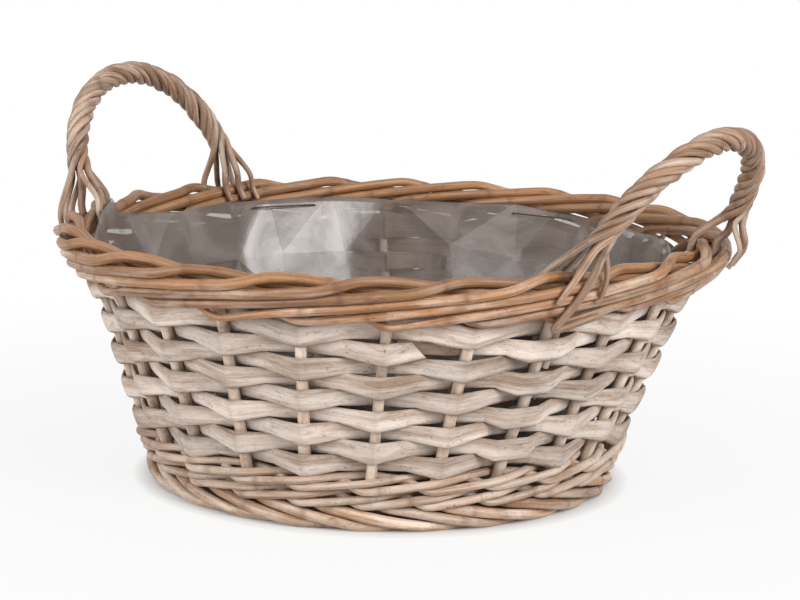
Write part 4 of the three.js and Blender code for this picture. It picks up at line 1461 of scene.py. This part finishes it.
class BASKET_OT_stage(bpy.types.Operator):
    """Sets the paper floor, the soft lights and the camera"""

    bl_idname = "basket.stage"
    bl_label = "Stage"

    def execute(self, context):
        scene = context.scene
        scene.view_settings.view_transform = "Standard"
        self.floor(scene)
        self.daylight(scene)
        self.camera(scene)
        right = Vector((math.cos(VIEW_AZIMUTH), math.sin(VIEW_AZIMUTH), 0.0))
        back = Vector((math.sin(VIEW_AZIMUTH), -math.cos(VIEW_AZIMUTH), 0.0))
        up = Vector((0.0, 0.0, 1.0))
        self.softbox(scene, "key_softbox", right * 1.05 + back * 1.2 + up * 0.9, 0.8, 30.0)
        self.softbox(scene, "fill_softbox", right * -1.35 + back * 0.85 + up * 0.6, 1.2, 20.0)
        return {"FINISHED"}

    def floor(self, scene):
        """A wide sheet of paper under the foot."""
        bm = bmesh.new()
        bmesh.ops.create_circle(bm, cap_ends=True, segments=64, radius=FLOOR_EXTENT)
        mesh = bpy.data.meshes.new("paper_floor")
        bm.to_mesh(mesh)
        bm.free()
        mesh.materials.append(white_paper())
        sheet = bpy.data.objects.new("paper_floor", mesh)
        scene.collection.objects.link(sheet)

    def daylight(self, scene):
        """Even light from all round, seen as white."""
        world = bpy.data.worlds.new("studio")
        world.use_nodes = True
        tree = world.node_tree
        tree.nodes.clear()
        strength = add_node(
            tree, "ShaderNodeMapRange", {"Value": show_white(tree), "To Min": AMBIENT, "To Max": 1.0}
        )[0]
        light = add_node(
            tree, "ShaderNodeBackground", {"Color": linear("ffffff"), "Strength": strength}
        )[0]
        add_node(tree, "ShaderNodeOutputWorld", {"Surface": light})
        scene.world = world

    def softbox(self, scene, name, place, size, power):
        """A square area light that looks at the basket."""
        lamp = bpy.data.lights.new(name, "AREA")
        lamp.size = size
        lamp.energy = power
        box = bpy.data.objects.new(name, lamp)
        box.location = place
        aim = Vector((0.0, 0.0, VIEW_HEIGHT)) - place
        box.rotation_euler = aim.to_track_quat("-Z", "Y").to_euler()
        scene.collection.objects.link(box)

    def camera(self, scene):
        """The camera at the photograph's angle, rolled a little as the photograph is."""
        turn, rise = VIEW_AZIMUTH, VIEW_ELEVATION
        flat = math.cos(rise)
        back = Vector((math.sin(turn) * flat, -math.cos(turn) * flat, math.sin(rise)))
        right = Vector((math.cos(turn), math.sin(turn), 0.0))
        up = back.cross(right)
        across = right * math.cos(VIEW_ROLL) - up * math.sin(VIEW_ROLL)
        above = right * math.sin(VIEW_ROLL) + up * math.cos(VIEW_ROLL)
        target = right * VIEW_ASIDE + Vector((0.0, 0.0, VIEW_HEIGHT))
        lens = bpy.data.cameras.new("camera")
        lens.sensor_width = 36.0
        lens.lens = FOCAL_PIXELS / PICTURE_WIDTH * lens.sensor_width
        camera = bpy.data.objects.new("camera", lens)
        place = Matrix((across, above, back)).transposed().to_4x4()
        place.translation = target + back * VIEW_DISTANCE
        camera.matrix_world = place
        scene.collection.objects.link(camera)
        scene.camera = camera


# Add-on

class BASKET_PT_panel(bpy.types.Panel):
    """Steps of the basket and the sizes that they follow"""

    bl_idname = "BASKET_PT_panel"
    bl_label = "Planter basket"
    bl_space_type = "VIEW_3D"
    bl_region_type = "UI"
    bl_category = "Basket"

    def draw(self, context):
        for step in STEPS:
            self.layout.operator(step.bl_idname)
        for group in (context.scene.basket_sizes, context.scene.basket_colours):
            for name in group.__annotations__:
                self.layout.prop(group, name)


STEPS = (
    BASKET_OT_stage,
    BASKET_OT_stakes,
    BASKET_OT_side_splits,
    BASKET_OT_wale,
    BASKET_OT_handles,
    BASKET_OT_base,
    BASKET_OT_stitch,
    BASKET_OT_liner,
)
CLASSES = (BasketSizes, BasketColours, *STEPS, BASKET_PT_panel)


def register():
    """Adds the basket's classes and its settings to Blender."""
    for entry in CLASSES:
        bpy.utils.register_class(entry)
    bpy.types.Scene.basket_sizes = PointerProperty(type=BasketSizes)
    bpy.types.Scene.basket_colours = PointerProperty(type=BasketColours)


def unregister():
    """Takes them out again."""
    del bpy.types.Scene.basket_sizes
    del bpy.types.Scene.basket_colours
    for entry in reversed(CLASSES):
        bpy.utils.unregister_class(entry)


def main():
    """Builds the basket step by step."""
    register()
    bpy.ops.basket.stage()
    bpy.ops.basket.stakes()
    bpy.ops.basket.side_splits()
    bpy.ops.basket.wale()
    bpy.ops.basket.handles()
    bpy.ops.basket.base()
    bpy.ops.basket.stitch()
    bpy.ops.basket.liner()


if __name__ == "__main__":
    main()
